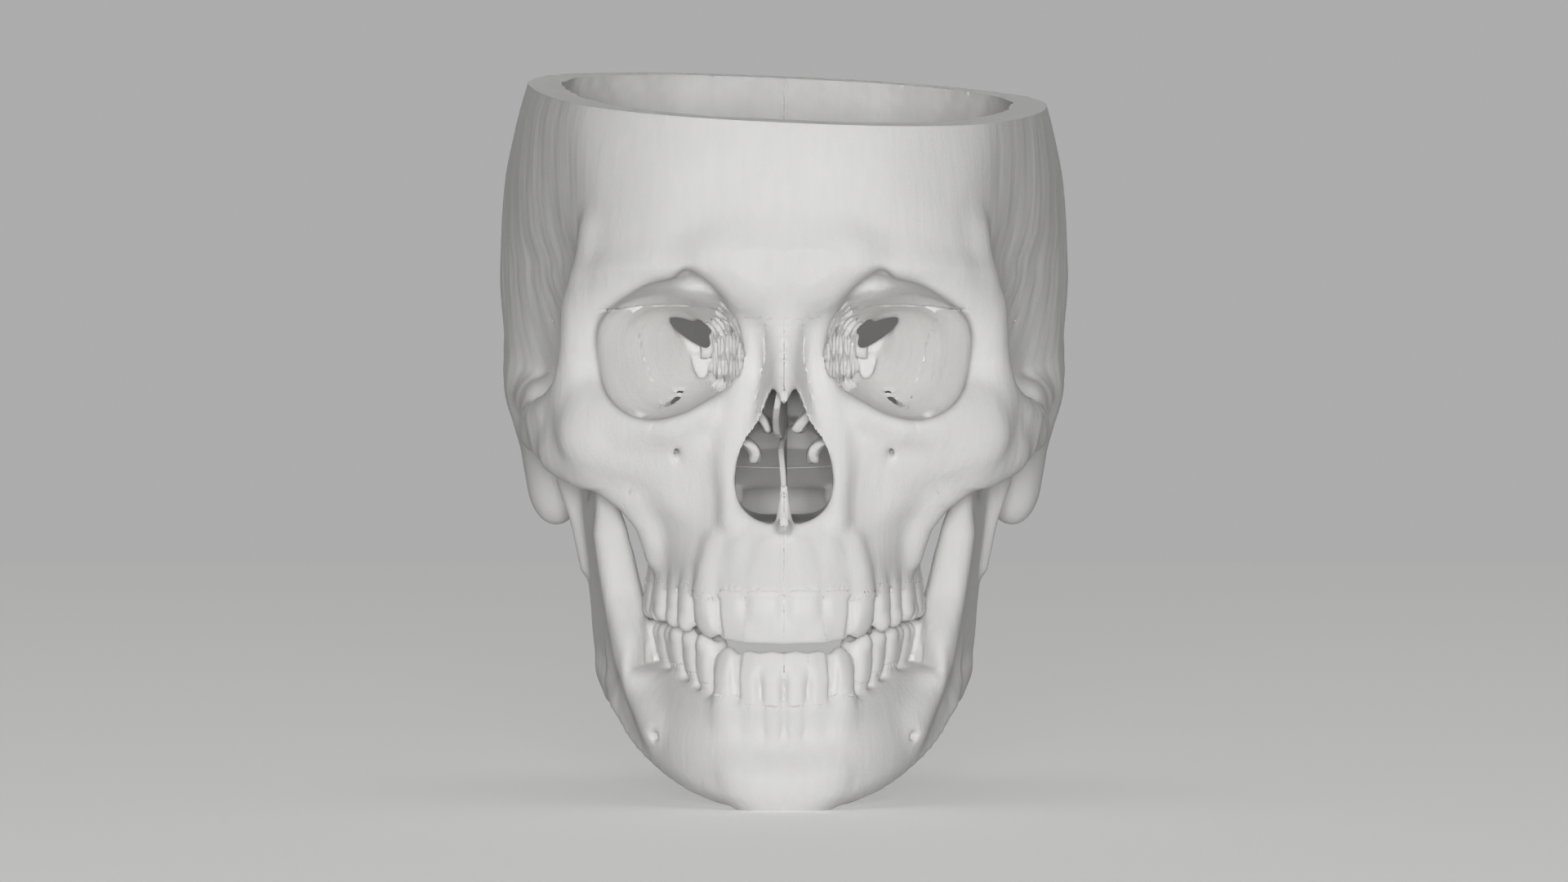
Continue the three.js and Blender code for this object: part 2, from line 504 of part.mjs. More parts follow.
// Teeth stand along an arch at even gaps, by their own widths.
const upperArchShares = [
  [0, -0.935], [0.1, -0.915], [0.18, -0.86], [0.235, -0.77], [0.28, -0.65], [0.305, -0.52], [0.31, -0.38],
];
const lowerArchShares = [
  [0, -0.9], [0.09, -0.88], [0.165, -0.815], [0.215, -0.73], [0.26, -0.6], [0.3, -0.46], [0.325, -0.3],
];
const upperGumShares = [-0.43, -0.43, -0.425, -0.42, -0.418, -0.418, -0.418, -0.415];
const lowerGumShares = [-0.698, -0.696, -0.688, -0.642, -0.62, -0.601, -0.594, -0.582];
const upperLeanShares = [0.22, 0.18, 0.12, 0.05, 0.02, 0, 0, 0];
const lowerLeanShares = [0.12, 0.1, 0.06, 0, -0.05, -0.1, -0.14, -0.14];

// Incisors have a straight edge, canines a point, premolars two cusps and molars four.
const teethOf = (toothShares) => Object.entries(toothShares).map(([name, [width, depth, crown, root]]) => ({
  name,
  width: width * incisorWidth,
  depth: depth * incisorDepth,
  crown: crown * incisorCrown,
  root: root * incisorRoot,
  cusps: { premolar: 2, molar: 4 }[name.split('_').at(-1)] ?? 0,
  pointed: name === 'canine',
}));

// Where each tooth of one half row stands: its place at the gum, its direction and its outward lean
function rowOf(teeth, archPlaceShares, gumShares, leanShares, rootUp) {
  const half = archPlaceShares.map(([x, y]) => new THREE.Vector3(placeX(x), placeY(y), 0));
  const beforeMidline = half[1].clone().setX(-half[1].x);
  const curve = new THREE.CatmullRomCurve3([beforeMidline, ...half]);
  const stepsPerSpan = 60;
  const lengths = curve.getLengths(stepsPerSpan * half.length);
  let walked = lengths[stepsPerSpan] + toothGap / 2;
  return teeth.map((tooth, i) => {
    const u = (walked + tooth.width / 2) / lengths.at(-1);
    walked += tooth.width + toothGap;
    const point = curve.getPointAt(u).setZ(placeZ(gumShares[i]));
    const along = curve.getTangentAt(u).setZ(0).normalize();
    const outward = new THREE.Vector3(along.y, -along.x, 0);
    const root = new THREE.Vector3(0, 0, rootUp ? 1 : -1).addScaledVector(outward, -leanShares[i]).normalize();
    return { tooth, point, along, root };
  });
}

// Shares of the crown's height, the tooth's width and its depth
const neckShares = { width: 0.76, depth: 0.86 };
const rootTipShare = 0.5;
const bellyShares = { level: 0.4, width: 0.95, depth: 0.98, cuspedDepth: 1 };
const tableShares = { width: 0.9, depth: 0.74, fold: 0.6 };
const summitShares = { width: 0.3, depth: 0.26 };
const bladeShares = { width: 1, depth: 0.55, rise: 2 };
const edgeShares = { width: 0.96, point: 1.4 };

// Rings of a tooth around its own root axis, which points along +Z from the gum: root tip, neck, crown, biting edge
function toothRings({ width, depth, crown, root, cusps, pointed }) {
  const neckWidth = width * neckShares.width;
  const neckDepth = depth * neckShares.depth;
  const ring = (z, w, d, power) => roundRing(new THREE.Vector3(0, 0, z), X, Y, w / 2, d / 2, power);
  const bellyDepth = depth * (cusps ? bellyShares.cuspedDepth : bellyShares.depth);
  const rings = [
    ring(root, neckWidth * rootTipShare, neckDepth * rootTipShare, 2.1),
    ring(0, neckWidth, neckDepth, 2.1),
    ring(-crown * bellyShares.level, width * bellyShares.width, bellyDepth, 2.5),
  ];
  if (cusps) {
    const table = ring(-crown, width * tableShares.width, depth * tableShares.depth, 2.8);
    const raised = cusps === 2 ? [1, 2, 5, 6] : [0, 3, 4, 7];
    table.forEach((p, i) => p.setZ(raised.includes(i) ? -crown : cuspHeight * tableShares.fold - crown));
    rings.push(table);
    rings.push(ring(cuspHeight - crown, width * summitShares.width, depth * summitShares.depth, 2));
  } else {
    const edgeWidth = pointed ? edgeThickness * edgeShares.point : width * edgeShares.width;
    rings.push(ring(cuspHeight * bladeShares.rise - crown, width * bladeShares.width, depth * bladeShares.depth, 2.6));
    rings.push(ring(-crown, edgeWidth, edgeThickness, 2.8));
  }
  return rings;
}

// The socket follows the root with a clearance and opens at the gum.
function socketRings({ width, depth, root }) {
  const grown = (z, w, d) =>
    roundRing(new THREE.Vector3(0, 0, z), X, Y, w / 2 + socketClearance, d / 2 + socketClearance, 2.1);
  const neckWidth = width * neckShares.width;
  const neckDepth = depth * neckShares.depth;
  return [
    grown(root + socketClearance, neckWidth * rootTipShare, neckDepth * rootTipShare),
    grown(-root, neckWidth * (2 - rootTipShare), neckDepth * (2 - rootTipShare)),
  ];
}

function frameOf({ point, along, root }, side) {
  const x = new THREE.Vector3(along.x, side * along.y, 0);
  const z = new THREE.Vector3(side * root.x, root.y, root.z);
  const y = new THREE.Vector3().crossVectors(z, x);
  const at = new THREE.Vector3(side * point.x, point.y, point.z);
  return new THREE.Matrix4().makeBasis(x, y, z).setPosition(at);
}

const upperRow = rowOf(teethOf(upperToothShares), upperArchShares, upperGumShares, upperLeanShares, true);
const lowerRow = rowOf(teethOf(lowerToothShares), lowerArchShares, lowerGumShares, lowerLeanShares, false);
const socketsOf = (row) => row.flatMap((stand) => [1, -1].map((side) => {
  const frame = frameOf(stand, side);
  return loft(socketRings(stand.tooth).map((ring) => ring.map((p) => p.applyMatrix4(frame))));
}));

// The ridge that carries a row runs round the arch from one side to the other.
function ridge(row, depth, extra) {
  const left = row.filter((_, i) => i < 3 || i % 2 === 0).map(({ tooth, point, root }) => ({
    point: point.clone().addScaledVector(root, depth),
    halfWidth: tooth.depth / 2 + extra,
    halfHeight: depth,
  }));
  const last = left.at(-1);
  const rear = row.at(-1);
  left.push({ ...last, point: last.point.clone().setX(rear.point.x).setY(rear.point.y + rear.tooth.width * ridgeEndShare) });
  const right = left.map((s) => ({ ...s, point: s.point.clone().setX(-s.point.x) }));
  return bar([...right.reverse(), ...left], 8, Z, 3);
}
const upperRidge = ridge(upperRow, upperRidgeDepth, ridgeCover);

// The master form of the skull: all bone above the lower jaw as one body, before it is cut at the sutures
const palateShares = [
  [-0.5, 0.2, -0.86, -0.3, 1],
  [-0.41, 0.19, -0.85, -0.3, 1],
  [-0.36, 0.16, -0.82, -0.32, 1],
  [-0.315, 0.1, -0.76, -0.36, 1],
];
const palateVault = loft(palateShares.map(([z, half, front, back]) => {
  const middle = place([0, (front + back) / 2, z]);
  return roundRing(middle, X, Y, placeX(half), (placeY(back) - placeY(front)) / 2, 2.6, 10);
}));

// Eye socket: its rim as shares of half its width and height, drawn in towards the apex
const orbitRimShares = [
  [1, 0.25], [0.99, -0.36], [0.76, -0.82], [0.28, -1], [-0.45, -0.8], [-0.8, -0.52], [-0.99, -0.05],
  [-0.93, 0.4], [-0.7, 0.8], [-0.36, 1], [0.3, 0.9], [0.78, 0.58],
];
const orbitDepthShares = [
  [0.295, -1.2, 0.17, 1.02],
  [0.292, -0.74, 0.176, 0.97],
  [0.262, -0.64, 0.186, 0.82],
  [0.226, -0.54, 0.2, 0.56],
  [0.188, -0.45, 0.21, 0.25],
  [0.165, -0.405, 0.215, 0.1],
];
const orbitRings = orbitDepthShares.map(([x, y, z, scale]) => orbitRimShares.map(([a, b]) => {
  const offset = new THREE.Vector3((a * orbitWidth) / 2, 0, (b * orbitHeight) / 2);
  return place([x, y, z]).addScaledVector(offset, scale);
}));
const orbits = bothSides(loft(orbitRings));

// Pear-shaped opening of the nose, and the two-storey passage behind it
const apertureShares = [
  [0, 0.85], [0.26, 0.8], [0.5, 0.42], [0.84, 0.14], [1, -0.3], [0.86, -0.76], [0.5, -0.98], [0.12, -0.99],
];
const apertureMiddleShare = -0.085;
const apertureHalfHeightShare = 0.165;
const apertureOutline = [
  ...apertureShares,
  [0, -0.86],
  ...apertureShares.slice(1).reverse().map(([a, b]) => [-a, b]),
].map(([a, b]) => [(a * noseWidth) / 2 / unitX, apertureMiddleShare + b * apertureHalfHeightShare]);
const apertureSpanShares = [-1.3, -0.74];
const aperture = prism('front', apertureOutline, apertureSpanShares);
const noseFloorShare = noseFloorWidth / 2 / unitX;
const floorFootShare = noseFloorShare - (noseFloorWidth - apertureFloorWidth) / 2 / unitX;
const chamberHalfShares = [
  [floorFootShare, -0.25], [noseFloorShare, -0.2], [noseFloorShare, -0.05], [0.125, 0.04], [0.125, 0.245],
];
const chamberFrontShares = [...chamberHalfShares, ...[...chamberHalfShares].reverse().map(([x, z]) => [-x, z])];
const chamberSideShares = [
  [-0.84, -0.26], [-0.12, -0.26], [-0.2, -0.06], [-0.3, -0.02], [-0.44, -0.01], [-0.44, 0.25], [-0.79, 0.25],
  [-0.79, 0.06], [-0.84, 0.02],
];
const chamber = region({ front: chamberFrontShares, side: chamberSideShares });
const notchShares = [[-0.06, -0.8], [0.06, -0.8], [0.06, -0.46], [-0.06, -0.46]];
const notchSpanShares = [0.23, 0.46];
const notch = prism('top', notchShares, notchSpanShares);

// Seat of the jaw in the skull: the path of the rounded condyle and its disc as they glide down the slope
const condyleShares = [0.52, -0.13, -0.048];
const condyleAt = place(condyleShares);
const glideDirection = new THREE.Vector3(0, -1, -glideSlopeShare).normalize();
const discOuter = condyleDiameter / 2 + jointClearance + discThickness;
const seatRadius = discOuter + jointClearance;
function seatPath(radius, halfLength, steps = 12) {
  const direction = Math.atan2(glideDirection.z, glideDirection.y);
  const outline = [];
  for (const [end, start] of [[glideTravel, -Math.PI / 2], [0, Math.PI / 2]]) {
    for (let i = 0; i <= steps / 2; i++) {
      const angle = direction + start + (i / (steps / 2)) * Math.PI;
      const r = radius / Math.cos(Math.PI / steps);
      outline.push(new THREE.Vector2(
        condyleAt.y + glideDirection.y * end + Math.cos(angle) * r,
        condyleAt.z + glideDirection.z * end + Math.sin(angle) * r,
      ));
    }
  }
  const geometry = new THREE.ExtrudeGeometry(new THREE.Shape(outline), { depth: halfLength * 2, bevelEnabled: false });
  geometry.translate(0, 0, condyleAt.x - halfLength);
  geometry.applyMatrix4(new THREE.Matrix4().makeBasis(Y, Z, X));
  return toSolid(geometry);
}
const jawSeat = seatPath(seatRadius, condyleLength / 2 + seatEndClearance);

const greatHoleShares = [[0, 0.185, -0.5], [0, 0.185, 0.02]];
const greatHole = loft(greatHoleShares.map((ends) => (
  roundRing(place(ends), X, Y, foramenWidth / 2, foramenLength / 2, 2, 14)
)));

// Round holes, from one end to the other
const earHoleShares = [[0.95, 0.005, -0.01], [0.44, -0.02, 0.01]];
const opticCanalShares = [[0.1, -0.3, 0.27], [0.2, -0.47, 0.235]];
const cheekHoleShares = [[0.27, -1, -0.1], [0.26, -0.78, -0.055]];
const nerveHoleShares = [[0.25, -0.2, -0.3], [0.23, -0.24, 0.3]];
const veinHoleShares = [[0.252, 0.1, -0.4], [0.252, 0.14, 0.1]];
const chinHoleShares = [[0.27, -0.9, -0.8], [0.24, -0.73, -0.81]];
const hole = (endShares, diameter, sides = 6) => rod(...endShares.map(place), diameter, sides);
const wingGapShares = [[0.16, 0.08], [0.19, 0.06], [0.34, 0.26], [0.32, 0.29], [0.2, 0.2]];
const wingGapSpanShares = [-0.55, -0.36];
const skullHoles = join(
  hole(earHoleShares, earHoleDiameter, 8),
  hole(opticCanalShares, opticCanalDiameter),
  hole(cheekHoleShares, cheekHoleDiameter),
  hole(nerveHoleShares, nerveHoleDiameter),
  hole(veinHoleShares, veinHoleDiameter),
  prism('front', wingGapShares, wingGapSpanShares),
);

const cutLevel = (x, y) => cutHeight + cutRiseShare * y + cutRollShare * x;
const sawReach = cranialBreadth;
const sawRing = (lift) => [[-1, -1], [1, -1], [1, 1], [-1, 1]].map(([a, b]) => new THREE.Vector3(
  a * sawReach, b * sawReach, cutLevel(a * sawReach, b * sawReach) + lift,
));
const sawnOff = loft([sawRing(0), sawRing(cranialBreadth)]);

const master = cut(
  join(
    cut(join(vaultOuter, faceBlock), hollow),
    bridge, upperRidge, clivus,
    bothSides(join(arch, cheek, cheekBorder, brow, pterygoid, smallWing, pyramid, mastoid, styloid, rocker)),
  ),
  orbits, aperture, chamber, notch, nasalPassage, palateVault, greatHole, sawnOff,
  bothSides(join(jawSeat, skullHoles)),
  ...socketsOf(upperRow),
);

// Bones cut from the master at their sutures. Each takes what lies in its own region, and the rest stands off by a gap.
let remains = master;
function carve(outlines) {
  const bone = meet(remains, region(outlines));
  remains = cut(remains, region(outlines, sutureGap));
  return mainPiece(bone);
}
const flip = (outlines) => Object.fromEntries(Object.entries(outlines).map(([view, shares]) => [
  view, view === 'side' ? shares : shares.map(([a, b]) => [-a, b]),
]));
const halfGap = sutureGap / 2 / unitX;
const leftHalf = [[halfGap, -2], [3, -2], [3, 2], [halfGap, 2]];

const nasalRegion = {
  front: [[halfGap, -0.1], [halfGap, 0.248], [0.05, 0.24], [0.045, 0.15], [0.07, 0.04], [0.07, -0.1]],
  side: [[-1.3, -0.1], [-1.3, 0.4], [-0.86, 0.4], [-0.86, -0.1]],
};
const lacrimalRegion = {
  front: [[0.08, 0.02], [0.18, 0.02], [0.18, 0.22], [0.08, 0.22]],
  side: [[-0.865, 0.025], [-0.87, 0.21], [-0.8, 0.23], [-0.795, 0.02]],
};
const cheekRegion = {
  front: [[0.31, 0.02], [0.33, -0.04], [0.37, -0.14], [0.4, -0.24], [0.44, -0.4], [0.9, -0.4], [0.9, 0.3], [0.38, 0.27]],
  top: [[0.2, -1.2], [0.24, -0.6], [0.4, -0.57], [0.52, -0.52], [0.54, -0.4], [0.9, -0.46], [0.9, -1.2]],
};
const frontalRegion = {
  side: [[-0.2, 1.3], [-0.28, 0.78], [-0.46, 0.33], [-0.5, 0.3], [-0.62, 0.29], [-0.76, 0.27], [-0.86, 0.245],
    [-1.3, 0.245], [-1.3, 1.3]],
};
const parietalRegion = {
  side: [[-0.42, 0.34], [-0.3, 0.46], [-0.1, 0.54], [0.15, 0.48], [0.32, 0.3], [0.42, 0.1], [0.55, 0.28],
    [0.79, 0.69], [1.4, 0.72], [1.4, 1.5], [-0.6, 1.5], [-0.6, 0.36]],
  front: leftHalf,
};
const temporalRegion = {
  side: [[-0.6, 0.09], [-0.42, 0.09], [-0.43, 0.28], [-0.3, 0.46], [-0.1, 0.54], [0.15, 0.48], [0.32, 0.3],
    [0.42, 0.1], [0.38, 0], [0.3, -0.1], [0.26, -0.5], [-0.2, -0.5], [-0.6, -0.2]],
  top: [[0.11, -0.13], [0.3, -0.1], [0.38, -0.17], [0.45, -0.32], [0.46, -0.6], [1, -0.6], [1, 0.6], [0.6, 0.5],
    [0.42, 0.3], [0.28, 0.08]],
};
const occipitalRegion = {
  side: [[-0.14, -0.4], [-0.14, 0.04], [-0.06, 0.12], [0.1, 0.3], [0.42, 0.1], [0.55, 0.28], [0.79, 0.69],
    [1.4, 0.72], [1.4, -0.8], [-0.14, -0.8]],
};
const palatineReach = noseFloorShare + palatineWall / unitX;
const palatineRegion = {
  side: [[-0.52, -0.34], [-0.52, -0.22], [-0.47, -0.2], [-0.47, 0.02], [-0.39, 0.02], [-0.39, -0.34]],
  front: [[halfGap, -0.4], [halfGap, 0.1], [palatineReach, 0.1], [palatineReach, -0.4]],
};
const maxillaRegion = {
  side: [[-1.3, -0.8], [-1.3, 0.4], [-0.7, 0.4], [-0.6, -0.005], [-0.5, -0.02], [-0.415, -0.06], [-0.39, -0.2],
    [-0.3, -0.8]],
  front: leftHalf,
};

const nasalBones = [nasalRegion, flip(nasalRegion)].map(carve);
const lacrimals = [lacrimalRegion, flip(lacrimalRegion)].map(carve);
const cheekbones = [cheekRegion, flip(cheekRegion)].map(carve);
const frontal = carve(frontalRegion);
const parietals = [parietalRegion, flip(parietalRegion)].map(carve);
const temporals = [temporalRegion, flip(temporalRegion)].map(carve);
const occipital = carve(occipitalRegion);
const palatines = [palatineRegion, flip(palatineRegion)].map(carve);
const maxillae = [maxillaRegion, flip(maxillaRegion)].map(carve);
const sphenoid = mainPiece(remains);

// Inside the nose
const flat = (thickness) => [-thickness / 2 / unitX, thickness / 2 / unitX];
const insideChamber = region({ front: chamberFrontShares, side: chamberSideShares }, -sutureGap);
const vomerShares = [
  [-0.83, -0.3], [-0.42, -0.3], [-0.32, -0.06], [-0.3, 0], [-0.45, 0], [-0.49, 0.01], [-0.74, -0.07],
];
const vomer = meet(prism('side', vomerShares, flat(septumThickness)), insideChamber);

// The lower scroll on each side, a bent leaf
const scrollShares = [[0.16, -0.05], [0.11, -0.042], [0.075, -0.065], [0.062, -0.11], [0.075, -0.15], [0.1, -0.16]];
function bentLeaf(pathShares, thickness) {
  const path = pathShares.map(([x, z]) => new THREE.Vector2(placeX(x), placeZ(z)));
  const edge = (distance) => path.map((p, i) => {
    const along = path[Math.min(i + 1, path.length - 1)].clone().sub(path[Math.max(i - 1, 0)]).normalize();
    return [(p.x - along.y * distance) / unitX, (p.y + along.x * distance) / unitZ];
  });
  return [...edge(thickness / 2), ...edge(-thickness / 2).reverse()];
}
const scrollSpanShares = [-0.82, -0.5];
const scroll = prism('front', bentLeaf(scrollShares, conchaThickness), scrollSpanShares);
const conchae = [scroll, mirrored(scroll)].map((solid) => mainPiece(meet(solid, insideChamber)));

// The ethmoid: a sieve plate between the eyes, a comb above it, a thin wall below it and a block of air cells each side
const combShares = [[-0.77, 0.27], [-0.74, 0.42], [-0.67, 0.44], [-0.5, 0.27]];
const sieveShares = [0.262, 0.285];
const wallPlateShares = [
  [-0.5, 0.27], [-0.78, 0.27], [-0.785, 0.21], [-0.86, 0.16], [-0.9, 0.03], [-0.74, -0.055], [-0.5, 0.02],
  [-0.46, 0.06],
];
const cellBlockShares = { x: [0.036, 0.2], y: [-0.785, -0.44], z: [0.045, 0.3] };
const rectangle = ([a, b], [c, d]) => [[a, c], [b, c], [b, d], [a, d]];
const cellBlock = meet(
  insideChamber,
  prism('top', rectangle(cellBlockShares.x, cellBlockShares.y)),
  prism('side', rectangle(cellBlockShares.y, cellBlockShares.z)),
);
function airCells() {
  const { min, max } = cellBlock.boundingBox();
  const lo = new THREE.Vector3(...min);
  const hi = new THREE.Vector3(...max);
  const pitch = airCellSize + laminaThickness;
  const countY = Math.round((hi.y - lo.y) / pitch);
  const countZ = Math.round((hi.z - lo.z) / pitch);
  const sizeY = (hi.y - lo.y - laminaThickness * (countY + 1)) / countY;
  const sizeZ = (hi.z - lo.z - laminaThickness * (countZ + 1)) / countZ;
  const deep = hi.x - lo.x - laminaThickness;
  const cells = [];
  for (let i = 0; i < countY; i++) {
    for (let k = 0; k < countZ; k++) {
      const geometry = new THREE.BoxGeometry(deep * 2, sizeY, sizeZ);
      const y = lo.y + laminaThickness + sizeY / 2 + i * (sizeY + laminaThickness);
      const z = lo.z + laminaThickness + sizeZ / 2 + k * (sizeZ + laminaThickness);
      cells.push(toSolid(geometry.translate(lo.x, y, z)));
    }
  }
  return join(...cells);
}
const labyrinth = cut(cellBlock, airCells());
const sieveOutline = grow(notchShares.map(([x, y]) => new THREE.Vector2(placeX(x), placeY(y))), -sutureGap)
  .map(({ x, y }) => [x / unitX, y / unitFront]);
const hangerShares = { x: [0.036, 0.056], y: [-0.77, -0.47], z: [0.2, 0.27] };
const hanger = prism('front', rectangle(hangerShares.x, hangerShares.z), hangerShares.y);
const ethmoid = mainPiece(join(
  prism('top', sieveOutline, sieveShares),
  prism('side', combShares, flat(septumThickness)),
  prism('side', wallPlateShares, flat(septumThickness)),
  bothSides(join(labyrinth, hanger)),
));

// Lower jaw
const jawBodyShares = [
  [0, -0.875, -0.845, 1, 1],
  [0.12, -0.86, -0.84, 1, 1],
  [0.21, -0.8, -0.79, 0.95, 0.98],
  [0.29, -0.7, -0.73, 0.95, 0.95],
  [0.355, -0.55, -0.67, 1, 0.92],
  [0.405, -0.38, -0.615, 1, 0.9],
  [0.45, -0.24, -0.56, 0.75, 0.9],
];
const jawBody = shareBar(
  [...jawBodyShares.slice(1).reverse().map(([x, ...rest]) => [-x, ...rest]), ...jawBodyShares],
  jawBodyThickness, jawBodyHeight, 8, Z, 2.6,
);
const chinShares = [0, -0.885, -0.9];
const chinSizeShares = { depth: 0.6, height: 0.27 };
const chin = ellipsoid(
  place(chinShares), chinWidth / 2, jawBodyThickness * chinSizeShares.depth, jawBodyHeight * chinSizeShares.height, 10, 6,
);
const ramusShares = [
  [-0.14, -0.66], [-0.125, -0.45], [-0.13, -0.25], [-0.1, -0.12], [-0.11, -0.06], [-0.18, -0.07], [-0.21, -0.14],
  [-0.3, -0.19], [-0.38, -0.1], [-0.42, -0.03], [-0.455, -0.1], [-0.455, -0.3], [-0.48, -0.45], [-0.55, -0.56],
  [-0.5, -0.74], [-0.35, -0.72], [-0.2, -0.7],
];
// The outer face of the ramus leans out from the jaw angle to the joint: its place across the head at each level
const ramusBowShares = [[-0.76, 0.425], [-0.68, 0.47], [-0.56, 0.495], [-0.3, 0.53], [0, 0.55]];
function bowAt(z) {
  const next = Math.max(ramusBowShares.findIndex(([level]) => placeZ(level) > z), 1);
  const [[z0, x0], [z1, x1]] = ramusBowShares.slice(next - 1, next + 1);
  return placeX(x0 + ((x1 - x0) * (z / unitZ - z0)) / (z1 - z0));
}
// In front of the neck it draws in towards the teeth.
const ramusSlopeShare = 0.22;
const ramusPlate = toGeometry(prism('side', ramusShares, [-ramusThickness / unitX, 0]));
const ramusPoints = ramusPlate.attributes.position;
for (let i = 0; i < ramusPoints.count; i++) {
  const drawnIn = ramusSlopeShare * Math.max(condyleAt.y - ramusPoints.getY(i), 0);
  ramusPoints.setX(i, ramusPoints.getX(i) + bowAt(ramusPoints.getZ(i)) - drawnIn);
}
const ramus = toSolid(ramusPlate);

// The head of the jaw is a roller that lies across the joint.
const rollerShares = [[0, -1], [0.7, -0.95], [1, -0.72], [1, 0.72], [0.7, 0.95], [0, 1]];
const rollerProfile = rollerShares.map(([r, along]) => new THREE.Vector2(
  (r * condyleDiameter) / 2, (along * condyleLength) / 2,
));
const rollerGeometry = new THREE.LatheGeometry(rollerProfile, 12);
rollerGeometry.rotateZ(Math.PI / 2).translate(condyleAt.x, condyleAt.y, condyleAt.z);
const roller = toSolid(rollerGeometry);
const lowerRidge = ridge(lowerRow, lowerRidgeDepth, ridgeCover);
const mandible = mainPiece(cut(
  join(jawBody, chin, lowerRidge, bothSides(join(ramus, roller))),
  bothSides(hole(chinHoleShares, chinHoleDiameter)),
  ...socketsOf(lowerRow),
));

// The disc caps the roller from behind its top to its front and glides with it.
const discSpanShares = [0.2, 0.88];
function discGeometry(steps = 6) {
  const outline = [];
  const angleAt = (i) => Math.PI * (discSpanShares[0] + (discSpanShares[1] - discSpanShares[0]) * (i / steps));
  const halfStep = (angleAt(1) - angleAt(0)) / 2;
  const inner = (condyleDiameter / 2 + jointClearance) / Math.cos(halfStep);
  for (let i = 0; i <= steps; i++) {
    outline.push(new THREE.Vector2(Math.cos(angleAt(i)) * discOuter, Math.sin(angleAt(i)) * discOuter));
  }
  for (let i = steps; i >= 0; i--) {
    outline.push(new THREE.Vector2(Math.cos(angleAt(i)) * inner, Math.sin(angleAt(i)) * inner));
  }
  const geometry = new THREE.ExtrudeGeometry(new THREE.Shape(outline), { depth: condyleLength, bevelEnabled: false });
  geometry.translate(0, 0, -condyleLength / 2);
  geometry.applyMatrix4(new THREE.Matrix4().makeBasis(Y, Z, X));
  return toGeometry(toSolid(geometry));
}

// Assembly
const boneLook = { color: 0xd8d6d2, roughness: 0.8, metalness: 0 };
const toothLook = { color: 0xe6e4de, roughness: 0.45, metalness: 0 };
const discLook = { color: 0xb9b5aa, roughness: 0.55, metalness: 0 };
const skull = new THREE.Group();
const cranium = new THREE.Group();
const lowerJaw = new THREE.Group();
const discs = new THREE.Group();
skull.add(cranium, lowerJaw, discs);

function add(group, name, geometry, look) {
  const mesh = new THREE.Mesh(geometry, new THREE.MeshStandardMaterial(look));
  mesh.name = name;
  group.add(mesh);
  return mesh;
}
const single = (group, name, solid) => add(group, name, toGeometry(solid), boneLook);
const pair = (group, name, [left, right]) => {
  single(group, `${name}_left`, left);
  single(group, `${name}_right`, right);
};
function addRow(group, jawName, row) {
  for (const stand of row) {
    for (const [sideName, side] of [['left', 1], ['right', -1]]) {
      const solid = toSolid(loftGeometry(toothRings(stand.tooth)));
      const mesh = add(group, `${jawName}_${sideName}_${stand.tooth.name}`, toGeometry(solid), toothLook);
      frameOf(stand, side).decompose(mesh.position, mesh.quaternion, mesh.scale);
    }
  }
}

single(cranium, 'frontal_bone', frontal);
pair(cranium, 'parietal_bone', parietals);
pair(cranium, 'temporal_bone', temporals);
single(cranium, 'occipital_bone', occipital);
single(cranium, 'sphenoid_bone', sphenoid);
single(cranium, 'ethmoid_bone', ethmoid);
pair(cranium, 'nasal_bone', nasalBones);
pair(cranium, 'lacrimal_bone', lacrimals);
pair(cranium, 'zygomatic_bone', cheekbones);
pair(cranium, 'maxilla', maxillae);
pair(cranium, 'palatine_bone', palatines);
pair(cranium, 'inferior_nasal_concha', conchae);
single(cranium, 'vomer', vomer);
addRow(cranium, 'upper', upperRow);
single(lowerJaw, 'mandible', mandible);
addRow(lowerJaw, 'lower', lowerRow);
for (const [sideName, side] of [['left', 1], ['right', -1]]) {
  const disc = add(discs, `articular_disc_${sideName}`, discGeometry(), discLook);
  disc.position.set(side * condyleAt.x, condyleAt.y, condyleAt.z);
}

// The skull stands on its chin, with the middle of its plan over the origin.
const extent = new THREE.Box3().setFromObject(skull, true);
const middle = extent.getCenter(new THREE.Vector3());
skull.position.set(-middle.x, -middle.y, -extent.min.z);

export default skull;
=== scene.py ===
import math

import bpy
import numpy as np
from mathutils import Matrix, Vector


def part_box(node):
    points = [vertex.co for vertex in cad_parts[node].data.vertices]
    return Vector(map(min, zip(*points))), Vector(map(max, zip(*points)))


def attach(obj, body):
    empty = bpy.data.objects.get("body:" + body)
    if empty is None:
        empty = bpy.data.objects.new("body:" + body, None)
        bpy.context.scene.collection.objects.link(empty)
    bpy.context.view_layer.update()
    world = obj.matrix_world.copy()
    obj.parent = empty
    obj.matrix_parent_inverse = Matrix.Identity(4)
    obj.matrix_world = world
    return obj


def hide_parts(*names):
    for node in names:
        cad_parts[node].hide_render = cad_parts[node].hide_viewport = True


# A human skull with its roof sawn off. Forms are sculpted as distances in millimetres, measured
# from the point between the ear openings: X to the skull's left, Y to the back, Z up. Surfaces
# are drawn from them, one for each bone, tooth and joint disc. Most tables hold the left half.

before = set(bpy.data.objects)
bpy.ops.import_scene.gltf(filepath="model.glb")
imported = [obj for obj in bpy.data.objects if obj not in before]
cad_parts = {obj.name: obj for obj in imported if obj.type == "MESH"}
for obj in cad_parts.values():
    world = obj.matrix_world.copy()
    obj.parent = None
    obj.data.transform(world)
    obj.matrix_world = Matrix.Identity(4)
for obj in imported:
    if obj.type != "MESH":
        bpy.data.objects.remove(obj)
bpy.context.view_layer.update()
bpy.ops.object.select_all(action="DESELECT")

# Middle of the line between the ear openings, in the model's frame
EAR_LINE = np.array((0, 7.353, 96.75))
# Distance between the sample points
STEP = 0.7
